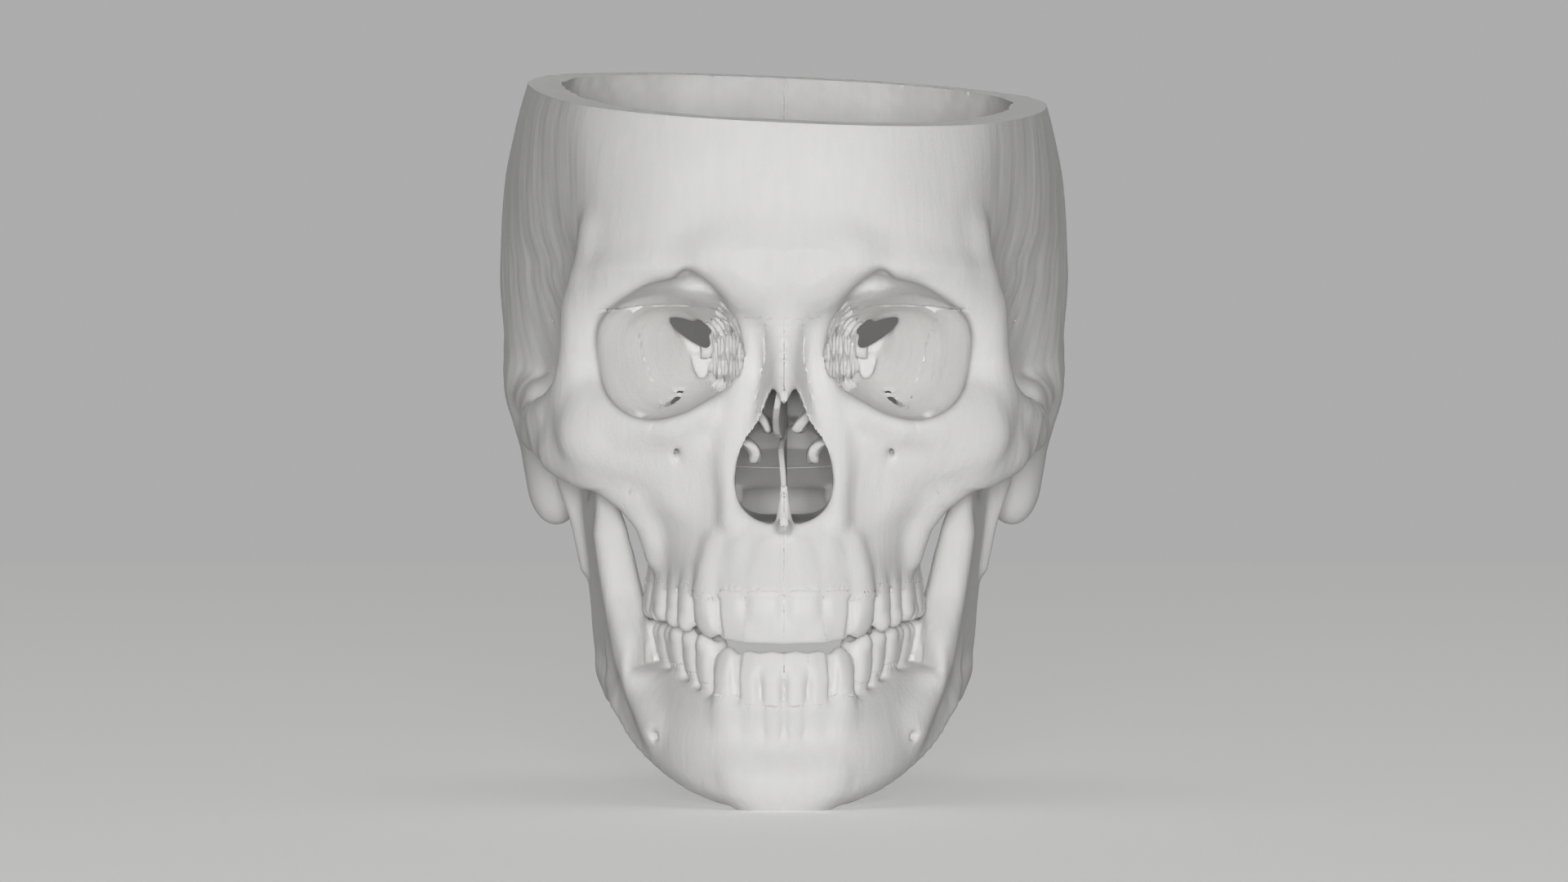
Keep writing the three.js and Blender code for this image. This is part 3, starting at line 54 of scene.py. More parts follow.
# Between neighbouring bones, less than nought, because they overlap a little so that no slit shows
GAP = -0.25
# Between a bone and the tooth in it
SOCKET_ROOM = 0.2
# How smoothly a tooth runs into the gum's edge
TOOTH_BLEND = 1.8
# Distance given to points that no form is near to
FAR = 30.0
# Room round a piece in its block
MARGIN = 2.5
# The saw cut: its height in the middle, its rise to the back and its fall to the skull's left
SAW_HEIGHT, SAW_RISE, SAW_FALL = 84.4, 0.125, 0.045


# Forms: a form is its lowest corner, its highest corner and a field of distances, negative inside


def smooth_min(a, b, k):
    """The union of two fields, rounded over the width k where they meet"""
    if k <= 0:
        return np.minimum(a, b)
    h = np.maximum(k - np.abs(a - b), 0) / k
    return np.minimum(a, b) - h * h * (k * 0.25)


def smooth_max(a, b, k):
    """What two fields share, rounded in the same way"""
    return -smooth_min(-a, -b, k)


def spread(coarse, fine):
    """Weights that carry values from coarse places to fine ones on a smooth curve"""
    h = coarse[1] - coarse[0]
    t = (fine - coarse[0]) / h
    i = np.clip(np.floor(t).astype(int), 0, len(coarse) - 2)
    f = t - i
    weights = np.zeros((len(fine), len(coarse)), np.float32)
    rows = np.arange(len(fine))
    parts = (
        -0.5 * f + f * f - 0.5 * f ** 3,
        1 - 2.5 * f * f + 1.5 * f ** 3,
        0.5 * f + 2 * f * f - 1.5 * f ** 3,
        -0.5 * f * f + 0.5 * f ** 3,
    )
    for offset, part in zip((-1, 0, 1, 2), parts):
        np.add.at(weights, (rows, np.clip(i + offset, 0, len(coarse) - 1)), part)
    return weights


def carry(values, k, few, many):
    """Values carried along one axis from coarse places to fine ones"""
    return np.moveaxis(np.tensordot(spread(few, many), values, (1, k)), 0, k)


def laid(axes):
    """Three axes, each laid along its own direction of a block"""
    x, y, z = axes
    return x[:, None, None], y[None, :, None], z[None, None, :]


def block_axes(low, high, step):
    """The places of the sample points of a block"""
    return [np.arange(a, b + step * 0.5, step, dtype=np.float32) for a, b in zip(low, high)]


class Clay:
    """A block of sample points that forms are added to and cut from"""

    def __init__(self, axes, step, value=None):
        self.axes, self.step = axes, step
        self.value = np.full([len(a) for a in axes], FAR, np.float32) if value is None else value

    def window(self, low, high):
        """The part of the block that reaches from a low corner to a high one"""
        cuts = []
        for axis, a, b in zip(self.axes, low, high):
            i, j = np.searchsorted(axis, [a, b])
            cuts.append(slice(max(i - 1, 0), min(j + 1, len(axis))))
        return tuple(cuts)

    def part(self, low, high, finer=1, value=None):
        """A smaller block of the same clay, on finer points where asked"""
        cuts = self.window(low, high)
        value = (self.value if value is None else value)[cuts]
        axes = [axis[s] for axis, s in zip(self.axes, cuts)]
        if finer > 1:
            for k, few in enumerate(axes):
                many = np.linspace(few[0], few[-1], (len(few) - 1) * finer + 1)
                value = carry(value, k, few.astype(float), many)
                axes[k] = many.astype(np.float32)
        return cuts, Clay(axes, self.step / finer, value.astype(np.float32))

    def sample_at(self, axes):
        """Values on other points, far ones as open space"""
        out = self.value
        for k, many in enumerate(axes):
            few = self.axes[k].astype(float)
            inner = np.clip(many, few[0], few[-1])
            i, j = np.searchsorted(few, [inner.min() - 3 * self.step, inner.max() + 3 * self.step])
            i, j = max(i - 1, 0), min(j + 1, len(few))
            out = np.moveaxis(out, k, 0)[i:j]
            out = np.moveaxis(np.tensordot(spread(few[i:j], inner.astype(float)), out, (1, 0)), 0, k)
        return out

    def bare(self):
        """An empty block on the same points"""
        return Clay(self.axes, self.step)

    def sample(self, field, cuts, coarse=1):
        """A field on part of the block, taken on coarser points where asked"""
        axes = [axis[c] for axis, c in zip(self.axes, cuts)]
        if coarse == 1:
            return field(*laid(axes))
        rough = [np.linspace(a[0], a[-1], max(int(np.ceil((a[-1] - a[0]) / coarse)) + 1, 3)) for a in axes]
        out = field(*laid(rough))
        for k, (few, many) in enumerate(zip(rough, axes)):
            out = carry(out, k, few, many)
        return out.astype(np.float32)

    def blend(self, form, k, coarse, sign):
        """Joins a form, or takes it away where the sign is -1, rounded over the width k"""
        low, high, field = form
        pad = k * 0.5 + 3
        cuts = self.window([v - pad for v in low], [v + pad for v in high])
        if any(c.stop - c.start < 4 for c in cuts):
            return
        new = self.sample(field, cuts, coarse)
        self.value[cuts] = sign * smooth_min(sign * self.value[cuts], new, k)

    def add(self, form, k=1.0, coarse=1):
        self.blend(form, k, coarse, 1)

    def cut(self, form, k=1.0, coarse=1):
        self.blend(form, k, coarse, -1)


def ball(centre, radii):
    """An egg with a radius along each axis"""
    c, r = np.array(centre, np.float32), np.array(radii, np.float32)

    def field(x, y, z):
        u, v, w = (x - c[0]) / r[0], (y - c[1]) / r[1], (z - c[2]) / r[2]
        k0 = np.sqrt(u * u + v * v + w * w)
        k1 = np.sqrt((u / r[0]) ** 2 + (v / r[1]) ** 2 + (w / r[2]) ** 2)
        return k0 * (k0 - 1) / np.maximum(k1, 1e-6)
    return c - r, c + r, field


def rod(points, radii, flat=(1, 1, 1)):
    """A round bar through points with a radius at each, stretched along the axes by flat"""
    s = np.array(flat, np.float32)
    p = np.array(points, np.float32) / s
    r = np.broadcast_to(np.array(radii, np.float32), len(p))

    def field(x, y, z):
        x, y, z = x / s[0], y / s[1], z / s[2]
        best = None
        for a, b, ra, rb in zip(p[:-1], p[1:], r[:-1], r[1:]):
            d = b - a
            t = ((x - a[0]) * d[0] + (y - a[1]) * d[1] + (z - a[2]) * d[2]) / float(d @ d)
            t = np.clip(t, 0, 1)
            e = np.sqrt((x - a[0] - t * d[0]) ** 2 + (y - a[1] - t * d[1]) ** 2
                        + (z - a[2] - t * d[2]) ** 2)
            e = e - (ra + (rb - ra) * t)
            best = e if best is None else np.minimum(best, e)
        return best * min(s)
    return ((p - r[:, None]) * s).min(0), ((p + r[:, None]) * s).max(0), field


def smooth_curve(points, steps=4, closed=True):
    """Points on a smooth curve through the given ones"""
    p = np.asarray(points, float)
    if closed:
        a, b, c, d = np.roll(p, 1, 0), p, np.roll(p, -1, 0), np.roll(p, -2, 0)
    else:
        q = np.concatenate([p[:1], p, p[-1:]])
        a, b, c, d = q[:-3], q[1:-2], q[2:-1], q[3:]
    t = (np.arange(steps) / steps)[None, :, None]
    a, b, c, d = (v[:, None] for v in (a, b, c, d))
    out = 0.5 * (2 * b + (c - a) * t + (2 * a - 5 * b + 4 * c - d) * t * t
                 + (3 * b - 3 * c + d - a) * t ** 3)
    out = out.reshape(-1, p.shape[1])
    return out if closed else np.concatenate([out, p[-1:]])


def outline_distance(u, v, outline):
    """Signed distance to a closed outline on a plane"""
    best = np.full(np.broadcast(u, v).shape, 1e9, np.float32)
    inside = np.zeros(best.shape, bool)
    for (ax, ay), (bx, by) in zip(outline.astype(np.float32), np.roll(outline, -1, 0).astype(np.float32)):
        dx, dy = bx - ax, by - ay
        length = dx * dx + dy * dy
        if length < 1e-9:
            continue
        t = np.clip(((u - ax) * dx + (v - ay) * dy) / length, 0, 1)
        np.minimum(best, (u - ax - t * dx) ** 2 + (v - ay - t * dy) ** 2, out=best)
        if ay != by:
            inside ^= ((ay > v) != (by > v)) & (u < (bx - ax) * (v - ay) / (by - ay) + ax)
    best = np.sqrt(best)
    return np.where(inside, -best, best)


def path_distance(u, v, path):
    """Distance to an open line on a plane"""
    best = None
    for (ax, ay), (bx, by) in zip(path[:-1], path[1:]):
        dx, dy = bx - ax, by - ay
        t = np.clip(((u - ax) * dx + (v - ay) * dy) / (dx * dx + dy * dy), 0, 1)
        e = (u - ax - t * dx) ** 2 + (v - ay - t * dy) ** 2
        best = e if best is None else np.minimum(best, e)
    return np.sqrt(best)


def between(levels, values, t):
    """Values at t between those at the levels, smooth and without overshoot. t is one number or many."""
    x = np.asarray(levels, float)
    y = np.asarray(values, float)
    t = np.asarray(t, float)
    tail = (1,) * (y.ndim - 1)
    h = np.diff(x).reshape((-1,) + tail)
    d = np.diff(y, axis=0) / h
    m = np.concatenate([d[:1], np.zeros_like(d[1:]), d[-1:]])
    if len(x) > 2:
        w1, w2 = 2 * h[1:] + h[:-1], h[1:] + 2 * h[:-1]
        both = d[:-1] * d[1:] > 0
        inner = (w1 + w2) / (w1 / np.where(both, d[:-1], 1) + w2 / np.where(both, d[1:], 1))
        m[1:-1] = np.where(both, inner, 0)
    i = np.clip(np.searchsorted(x, t) - 1, 0, len(x) - 2)
    s = np.clip((t - x[i]) / np.diff(x)[i], 0, 1).reshape(t.shape + tail)
    return ((1 + s * s * (2 * s - 3)) * y[i] + s * s * (3 - 2 * s) * y[i + 1]
            + h[i] * (s * (1 - s) ** 2 * m[i] - s * s * (1 - s) * m[i + 1]))


PLANES = {"x": (1, 2, 0), "y": (0, 2, 1), "z": (0, 1, 2)}


def mirror_ring(half):
    """A ring from its left half, midline to midline"""
    half = np.array(half, float)
    return np.concatenate([half, half[1:-1][::-1] * [-1, 1]])


def even(points, count):
    """The same line with evenly spaced points"""
    p = smooth_curve(points, 6, closed=False)
    run = np.concatenate([[0], np.cumsum(np.hypot(*np.diff(p, axis=0).T))])
    at = np.linspace(0, run[-1], count)
    return np.stack([np.interp(at, run, p[:, 0]), np.interp(at, run, p[:, 1])], 1)


def skin(axis, levels, rings, steps=4):
    """A body with an outline at each level, smooth round it and from level to level"""
    rings = np.array(rings, float)
    levels = np.array(levels, float)
    plane = PLANES[axis]

    def field(x, y, z):
        p = [x, y, z]
        u, v, w = (p[k].ravel() for k in plane)
        out = np.empty((len(u), len(v), len(w)), np.float32)
        for i, level in enumerate(w):
            flat = outline_distance(u[:, None], v[None, :],
                                    smooth_curve(between(levels, rings, level), steps))
            out[:, :, i] = np.maximum(flat, max(levels[0] - level, level - levels[-1]))
        return np.transpose(out, np.argsort(plane))

    low, high = np.zeros(3), np.zeros(3)
    low[plane[0]], high[plane[0]] = rings[..., 0].min(), rings[..., 0].max()
    low[plane[1]], high[plane[1]] = rings[..., 1].min(), rings[..., 1].max()
    low[plane[2]], high[plane[2]] = levels[0], levels[-1]
    return low, high, field


def plate(axis, outline, middle, thickness, k=1.0, steps=4):
    """A sheet with an outline seen along an axis. Its middle is a number or a function of the others."""
    outline = smooth_curve(outline, steps) if steps > 1 else np.array(outline, float)
    plane = PLANES[axis]
    place = middle if callable(middle) else lambda u, v: middle + 0 * u
    corners = [place(u, v) for u, v in outline]

    def field(x, y, z):
        p = [x, y, z]
        u, v, w = (p[i] for i in plane)
        flat = outline_distance(u, v, outline)
        thick = thickness(u, v) if callable(thickness) else thickness
        return smooth_max(flat, np.abs(w - place(u, v)) - thick / 2, k)

    low, high = np.zeros(3), np.zeros(3)
    low[list(plane[:2])], high[list(plane[:2])] = outline.min(0), outline.max(0)
    reach = 4 if callable(thickness) else thickness / 2
    low[plane[2]], high[plane[2]] = min(corners) - reach, max(corners) + reach
    return low, high, field


def leaf(axis, path, thickness, side, other, wave=0.0):
    """A bent sheet: a line seen along one axis, kept inside an outline seen along the other"""
    path = smooth_curve(path, 4, closed=False)
    side = smooth_curve(side, 4)
    plane, across = PLANES[axis], PLANES[other]

    def field(x, y, z):
        p = [x, y, z]
        u, v = p[plane[0]], p[plane[1]]
        if wave:
            u = u + wave * np.sin(p[plane[2]] * 0.9)
        d = path_distance(u, v, path) - thickness / 2
        return smooth_max(d, outline_distance(p[across[0]], p[across[1]], side), 0.8)

    low, high = np.full(3, -1e3), np.full(3, 1e3)
    for axes, line in ((plane, path), (across, side)):
        for i in (0, 1):
            low[axes[i]] = max(low[axes[i]], line[:, i].min() - thickness)
            high[axes[i]] = min(high[axes[i]], line[:, i].max() + thickness)
    return low, high, field


def tooth(centre, along, rows, power=2.6):
    """A crown and root on an upright axis, from rows of level, half width, half depth and shift outwards"""
    cx, cy = centre
    ax, ay = along
    rows = np.array(sorted(rows), float)

    def field(x, y, z):
        a, b, c = np.moveaxis(between(rows[:, 0], rows[:, 1:],
                                      np.clip(z.ravel(), rows[0, 0], rows[-1, 0])), 1, 0)
        u = (x - cx) * ax + (y - cy) * ay
        v = (x - cx) * ay - (y - cy) * ax - c
        q = ((np.abs(u) / a) ** power + (np.abs(v) / b) ** power) ** (1 / power)
        d = (q - 1) * np.minimum(a, b)
        ends = np.maximum(rows[0, 0] - z, z - rows[-1, 0])
        return smooth_max(d, ends, 0.9).astype(np.float32)

    reach = rows[:, 1:3].max() + np.abs(rows[:, 3]).max()
    return np.array([cx - reach, cy - reach, rows[0, 0]]), np.array([cx + reach, cy + reach,
                                                                     rows[-1, 0]]), field


VAULT = {
    -26: [(0, 32), (3, 32.4), (6, 33), (9, 34), (11, 35.6), (12.5, 37), (13.4, 38.6), (13.4, 40),
          (13, 42), (11.4, 45), (8.4, 47.4), (4.6, 49), (2, 49.4), (0, 49.5)],
    -23.4: [(0, 20), (6, 21), (12, 22), (17, 25), (21, 28), (24, 32), (26, 36), (26, 40), (25, 44),
            (22, 50), (16, 55), (9, 58), (4, 59), (0, 59.5)],
    -18: [(0, 0), (8, 2), (16, 4), (26, 8), (36, 12), (44, 16), (48, 22), (50, 28), (50, 34),
          (47, 44), (40, 54), (30, 62), (16, 67), (0, 69)],
    -10: [(0, -20), (10, -20), (20, -18), (30, -12), (40, -6), (48, 0), (54, 6), (60, 12), (64, 20),
          (63, 30), (58, 44), (46, 60), (27, 72), (0, 75)],
    0: [(0, -40), (14, -40), (26, -38), (34, -34), (40, -29), (46, -22), (52, -14), (60, -4),
        (68, 6), (70.5, 16), (67, 40), (53, 63), (31, 77), (0, 80)],
    12: [(0, -48), (14, -48), (28, -45), (37, -42), (43, -38), (48, -32), (54, -24), (61, -10),
         (69.5, 4), (72.5, 16), (70, 42), (56, 66), (33, 81), (0, 84.5)],
    25: [(0, -70), (14, -68), (28, -62), (38, -56), (44, -50), (48, -44), (54, -34), (62, -18),
         (71, 2), (74, 18), (72, 42), (58, 66), (34, 82), (0, 86)],
    38: [(0, -96), (14, -95.5), (28, -92), (40, -86), (48, -77), (50, -66), (54, -50), (62, -28),
         (70, -5), (75, 18), (72, 42), (58, 66), (34, 82), (0, 86)],
    50: [(0, -96.5), (14, -95.5), (28, -92), (40, -84.5), (48, -75), (53, -62), (58, -46),
         (66, -24), (72, 0), (74.5, 20), (71, 44), (57, 67), (33, 82), (0, 86)],
    62: [(0, -96), (14, -95), (28, -91), (40, -83), (49, -73), (54.5, -60), (60, -44), (67, -22),
         (72, 2), (73.5, 20), (70, 44), (56, 66), (32, 81), (0, 85)],
    75: [(0, -94), (14, -93), (28, -88.5), (40, -80.5), (50, -69), (56, -56), (61, -41),
         (66.5, -20), (70, 2), (71, 20), (67.5, 43), (54, 64), (31, 79), (0, 83.5)],
    90: [(0, -89), (14, -87.5), (28, -83), (40, -74), (49, -62), (54, -50), (58.5, -36), (63, -17), (66, 2),
         (66.5, 20), (63, 42), (50, 62), (29, 76), (0, 80)],
    104: [(0, -83), (14, -81.5), (28, -77), (40, -68), (47, -57), (52, -46), (55.5, -33),
          (59, -15), (61, 2), (61, 20), (58, 40), (46, 58), (27, 71), (0, 75)],
}

FACE = {
    -45: [(0, -96.6), (7, -96.1), (14, -93.4), (20.4, -88), (25.4, -80), (29.6, -70),
          (32.6, -60), (34.8, -49.5), (34.6, -42), (29, -38), (17, -38.5), (8, -40), (0, -42)],
    -36: [(0, -95.4), (7, -94.6), (14, -91.4), (20.6, -86), (25.8, -79), (30, -70), (33, -60), (34.6, -50),
          (33, -43), (27, -39), (17, -39.5), (8, -41), (0, -42)],
    -28: [(0, -93.2), (7, -92.2), (14, -89.2), (21, -83.6), (27.4, -77), (32.6, -68),
          (34.6, -57.5), (33, -49), (29, -42.5), (22, -40), (16, -41), (8, -42), (0, -42)],
    -20: [(0, -90), (8, -89), (15, -87.5), (23, -83.5), (32, -78), (40, -70), (40, -62),
          (35, -53), (29, -45), (22, -41), (16, -41), (8, -42), (0, -42)],
    -12: [(0, -88), (8, -88), (15, -87), (24, -84.5), (35, -80), (47, -73), (53, -65), (45, -58), (33, -50),
          (24, -43), (16, -41), (8, -42), (0, -42)],
    -4: [(0, -88), (8, -88), (15, -87), (25, -86), (37, -82), (49, -75), (55.6, -67), (48, -60),
         (36, -53), (27, -45), (16, -41), (8, -42), (0, -42)],
    4: [(0, -89), (8, -88), (14, -86.5), (25, -86), (37, -82), (48, -75), (53.5, -69), (49, -62),
        (40, -55), (30, -47), (18, -42), (8, -42), (0, -42)],
    12: [(0, -88), (6, -86.4), (13, -84.6), (25, -85), (37, -81), (47, -75), (53.5, -70), (50, -64),
         (43, -57), (33, -49), (20, -42), (8, -42), (0, -42)],
    20: [(0, -90), (7, -87.6), (13, -85.4), (25, -86), (37, -82), (47, -76), (53, -71), (50, -65),
         (44, -58), (35, -49), (22, -42), (8, -42), (0, -42)],
    28: [(0, -94), (8, -92), (15, -89), (26, -88.5), (38, -84), (47, -78), (52, -72.5),
         (50, -66), (45, -58), (37, -49), (24, -42), (8, -42), (0, -42)],
    36: [(0, -95), (8, -94.4), (16, -92), (27, -90.3), (38, -86), (46.6, -79.5), (50.4, -73),
         (49, -65), (46, -56), (38, -48), (24, -42), (8, -42), (0, -42)],
    45: [(0, -90), (8, -89.5), (16, -88), (25, -85), (34, -80), (40, -75), (42.5, -69), (42, -63),
         (40, -55), (34, -48), (24, -42), (8, -42), (0, -42)],
}

# One-sided rings of the eye socket, seen from the front, from the rim to the apex
ORBIT = {
    -104: [(10, 19), (14, 29), (21, 35.6), (28, 34.8), (34, 33.4), (40, 30), (45, 26),
           (48, 21), (47.4, 12.6), (44.6, 5.8), (40, 1.4), (33.4, -0.8), (25.5, 0.6), (20, 3.4),
           (13.5, 8.2), (10.5, 14)],
    -86: [(10.6, 19), (14.5, 28.5), (21.5, 34.8), (28, 34.2), (34, 32.8), (40, 29.6),
          (45, 25.8), (47.3, 21), (46.6, 12.8), (44, 6.2), (39.6, 1.8), (33.2, -0.3), (26, 1), (20.5, 3.8),
          (14, 8.4), (11.2, 14)],
    -74: [(12.4, 19), (14, 25), (19, 28.6), (25, 30), (31, 31), (38, 29.6), (44, 26), (46.4, 21), (46, 13),
          (44, 6), (39.5, 1.2), (33, -0.2), (25.5, 0.8), (19.5, 3), (14.5, 7), (12.6, 13)],
    -64: [(14.6, 18), (16, 23), (20, 26.4), (26, 28), (32, 27.8), (36.4, 25.8), (39, 23),
          (40, 19.6), (39.5, 14), (38, 8), (34, 4), (29, 2.6), (24, 3.4), (20, 5.4),
          (16.6, 8.6), (14.8, 13)],
    -54: [(17, 18), (18, 22), (20.4, 24.6), (24, 26.4), (27.6, 26), (30, 24.4), (31.6, 22.4),
          (32, 19.8), (31.4, 16), (30, 12), (27.6, 9.6), (24.6, 8.8), (21.8, 9.2), (19.6, 10.6),
          (17.8, 12.6), (17, 15)],
    -45: [(18.4, 19.6), (18.8, 22.4), (20.2, 24), (21.8, 24.8), (23.4, 24.4), (24.4, 23.4),
          (25, 22), (25.2, 20.6), (24.8, 19), (24, 17.6), (23, 16.9), (21.8, 16.7), (20.6, 16.8),
          (19.6, 17.2), (18.8, 17.9), (18.4, 18.7)],
}

FLOOR_HOLLOW = {
    24: [(0, -30), (10, -33), (22, -36), (35, -34), (46, -25), (55, -9), (59, 6), (60, 22),
         (57, 36), (47, 52), (28, 66), (0, 70)],
    32: [(0, -36), (14, -42), (28, -46), (40, -43), (52, -32), (60, -13), (65, 6), (65.5, 22),
         (62.5, 42), (50, 60), (30, 74), (0, 78)],
    41: [(0, -84), (14, -81), (27, -75), (39, -65), (49, -44), (57, -24), (63.5, -2), (66, 18),
         (64, 42), (51, 61), (30, 74), (0, 78)],
}
MIDDLE_HOLLOW = {
    1.5: [(24, -20), (26, -25), (30, -28), (34, -27), (38, -23), (41, -17), (42, -11), (40, -7), (35, -8),
          (30, -11), (26, -15)],
    4: [(16, -22), (20, -30), (26, -34), (34, -32), (41, -25), (46, -17), (49, -8), (47, -1), (38, -2),
        (28, -7), (19, -14)],
    10: [(11, -21), (14, -34), (23, -39.5), (33, -37), (42, -29), (50, -16), (54, -3), (53, 8), (42, 3),
         (28, -5), (17, -13)],
    20: [(10, -20), (13, -36), (23, -42), (34, -40), (45, -31), (54, -16), (60, 1), (59, 13), (44, 6),
         (28, -4), (16, -10)],
    30: [(10, -20), (15, -38), (25, -43), (37, -42), (49, -32), (58, -15), (63, 4), (61, 18), (44, 8),
         (28, -2), (16, -8)],
}
REAR_HOLLOW = {
    -18.5: [(0, 42), (6, 38), (13, 34), (21, 34), (26, 38), (25, 43), (20, 48), (12, 51), (0, 52)],
    -16: [(0, 38), (10, 30), (20, 28), (30, 32), (34, 38), (32, 46), (26, 53), (15, 57), (0, 58)],
    -10: [(0, 6), (10, 10), (21, 18), (33, 25), (42, 32), (43, 42), (36, 53), (19, 62), (0, 64)],
    -4: [(0, -2), (10, 0), (22, 8), (36, 17), (47, 27), (50, 37), (44, 51), (23, 67), (0, 71)],
    8: [(0, -7), (10, -6), (22, 4), (38, 15), (54, 25), (60, 36), (52, 54), (28, 72), (0, 76)],
    20: [(0, -12), (10, -10), (20, -2), (40, 11), (59, 22), (64, 34), (56, 56), (30, 74), (0, 78)],
    30: [(0, -14), (10, -12), (20, -4), (41, 9), (62, 20), (66, 34), (57, 56), (30, 75), (0, 78)],
}

APERTURE = [(0, 3.4), (1.4, 5.6), (2.7, 7.4), (4.2, 4.4), (5.8, 0), (8, -4), (9.9, -7.5),
            (11, -11), (11.2, -14.5), (10.7, -18.5), (9.2, -21.8), (6.6, -24.3), (3.6, -25.5),
            (1, -24.6), (0, -24.2)]

CHAMBER = {
    -102: [(0, -25.8), (3, -25.8), (6.5, -24.4), (9.4, -21.6), (10.6, -18.5), (10.2, -15.5),
           (7, -12.5), (1.5, -10), (0.6, -8), (0.4, -6), (0.2, -4.4), (0, -4)],
    -95: [(0, -25.8), (3, -25.8), (6.5, -24.4), (9.4, -21.6), (10.9, -18.5), (10.8, -15),
          (8.6, -11.5), (4.2, -8), (3.2, -3), (2.4, 1), (1.4, 3.6), (0, 4)],
    -88: [(0, -25.8), (4, -25.8), (8, -24.4), (11, -21), (12, -17), (12, -13), (11.4, -9), (9.6, -3),
          (7.6, 3), (5.6, 8), (3.4, 11.6), (0, 12.6)],
    -80: [(0, -25.4), (5, -25.4), (10, -24.6), (13, -21), (14, -16), (13.6, -11), (12.8, -5),
          (12.2, 2), (11.6, 9), (10.6, 17), (7, 24), (0, 25.6)],
    -62: [(0, -25), (6, -25), (11.5, -24), (14.5, -20.5), (15.2, -15), (14.4, -9), (13, -3),
          (13.6, 5), (15, 11), (14.8, 20), (9, 26.6), (0, 27.4)],
    -48: [(0, -24.4), (6, -24.4), (11, -23), (13.4, -19.5), (13.8, -14), (13, -8), (12, -2),
          (13.6, 5), (18.2, 11), (17.8, 17.6), (8, 23), (0, 24)],
    -42: [(0, -24), (6, -24), (10, -22.4), (12, -19), (12.2, -14), (11.6, -9), (10, -4), (7.6, -1),
          (5, 0), (3, 0.6), (1.5, 0.8), (0, 0.8)],
    -26: [(0, -26), (6, -26), (10, -24), (12, -20), (12.2, -15), (11.6, -10), (10, -6),
          (7.6, -3.4), (5, -2.4), (3, -2), (1.5, -1.8), (0, -1.8)],
}

# Roof of the mouth, cut from below: a bowl that opens to the rear
PALATE = {
    -66: [(0, -88), (10, -84.5), (17, -76), (21, -64), (24, -50), (25.5, -36), (25, -26),
          (13, -24), (0, -24)],
    -44: [(0, -86.5), (9, -83.5), (15.5, -76), (19.5, -64), (22, -50), (23.5, -38), (24, -26),
          (13, -24), (0, -24)],
    -38: [(0, -84), (8, -81), (14, -74), (18, -63), (20.4, -50), (21.6, -38), (22, -26),
          (12, -24), (0, -24)],
    -33: [(0, -79), (6, -76.5), (10.5, -70), (14, -60), (16.5, -49), (18, -38), (18.5, -26),
          (10, -24), (0, -24)],
    -29.6: [(0, -70), (3, -68), (5, -63), (7, -56), (8.5, -48), (9.5, -38), (10, -26), (6, -24), (0, -24)],
}


BRIDGE = {
    -12: [(0, -99), (2.6, -97), (5.4, -94), (9, -90.4), (13, -86.4), (12, -82), (0, -82)],
    -4: [(0, -100.8), (2.7, -98.8), (5.4, -94.8), (8.6, -90.4), (12.6, -86), (12, -82), (0, -82)],
    4: [(0, -100.6), (2.6, -98.8), (4.6, -94.6), (7, -90), (11, -85.8), (11, -82), (0, -82)],
    12: [(0, -97), (2.3, -95.8), (4.1, -92.4), (6.2, -88.2), (10, -84.6), (10, -82), (0, -82)],
    20: [(0, -95), (2.7, -94), (4.9, -91.4), (7.2, -88.6), (10.2, -85.4), (10, -82), (0, -82)],
    29: [(0, -94.6), (4, -94), (7.4, -92.4), (10.6, -90), (13, -86.6), (11, -82), (0, -82)],
}


def form_of(table, axis="z", mirror=True, steps=4):
    """The body of a table that holds an outline for each level"""
    rings = [mirror_ring(r) if mirror else r for r in table.values()]
    return skin(axis, list(table), rings, steps)


def vault_inner(wall):
    """The vault drawn in by a wall, thicker at the forehead, down to a floor that sinks to the rear"""
    low, high, field = form_of({z: VAULT[z] for z in (0, 12, 25, 38, 50, 62, 75, 90, 104)}, steps=8)

    def inner(x, y, z):
        d = field(x, y, z) + wall + 1.2 * np.exp(-(x / 9) ** 2) * (y < 0)
        back = np.clip((y + 62) / 56, 0, 1)
        floor = 37.4 - 21 * back * back * (3 - 2 * back)
        uneven = 0.5 * np.sin(0.29 * x + 0.5 * np.sin(0.13 * z)) * np.sin(0.21 * z + 0.17 * y)
        uneven = uneven + 0.3 * np.sin(0.62 * x - 0.35 * z) * np.sin(0.45 * y + 0.5 * z + 1)
        return smooth_max(d, floor - z, 7) + uneven
    return low, high, inner


def braincase(c):
    """Vault and face as whole bodies"""
    c.add(form_of(VAULT, steps=10), 0, 3)
    c.add(form_of(FACE), 5, 2)


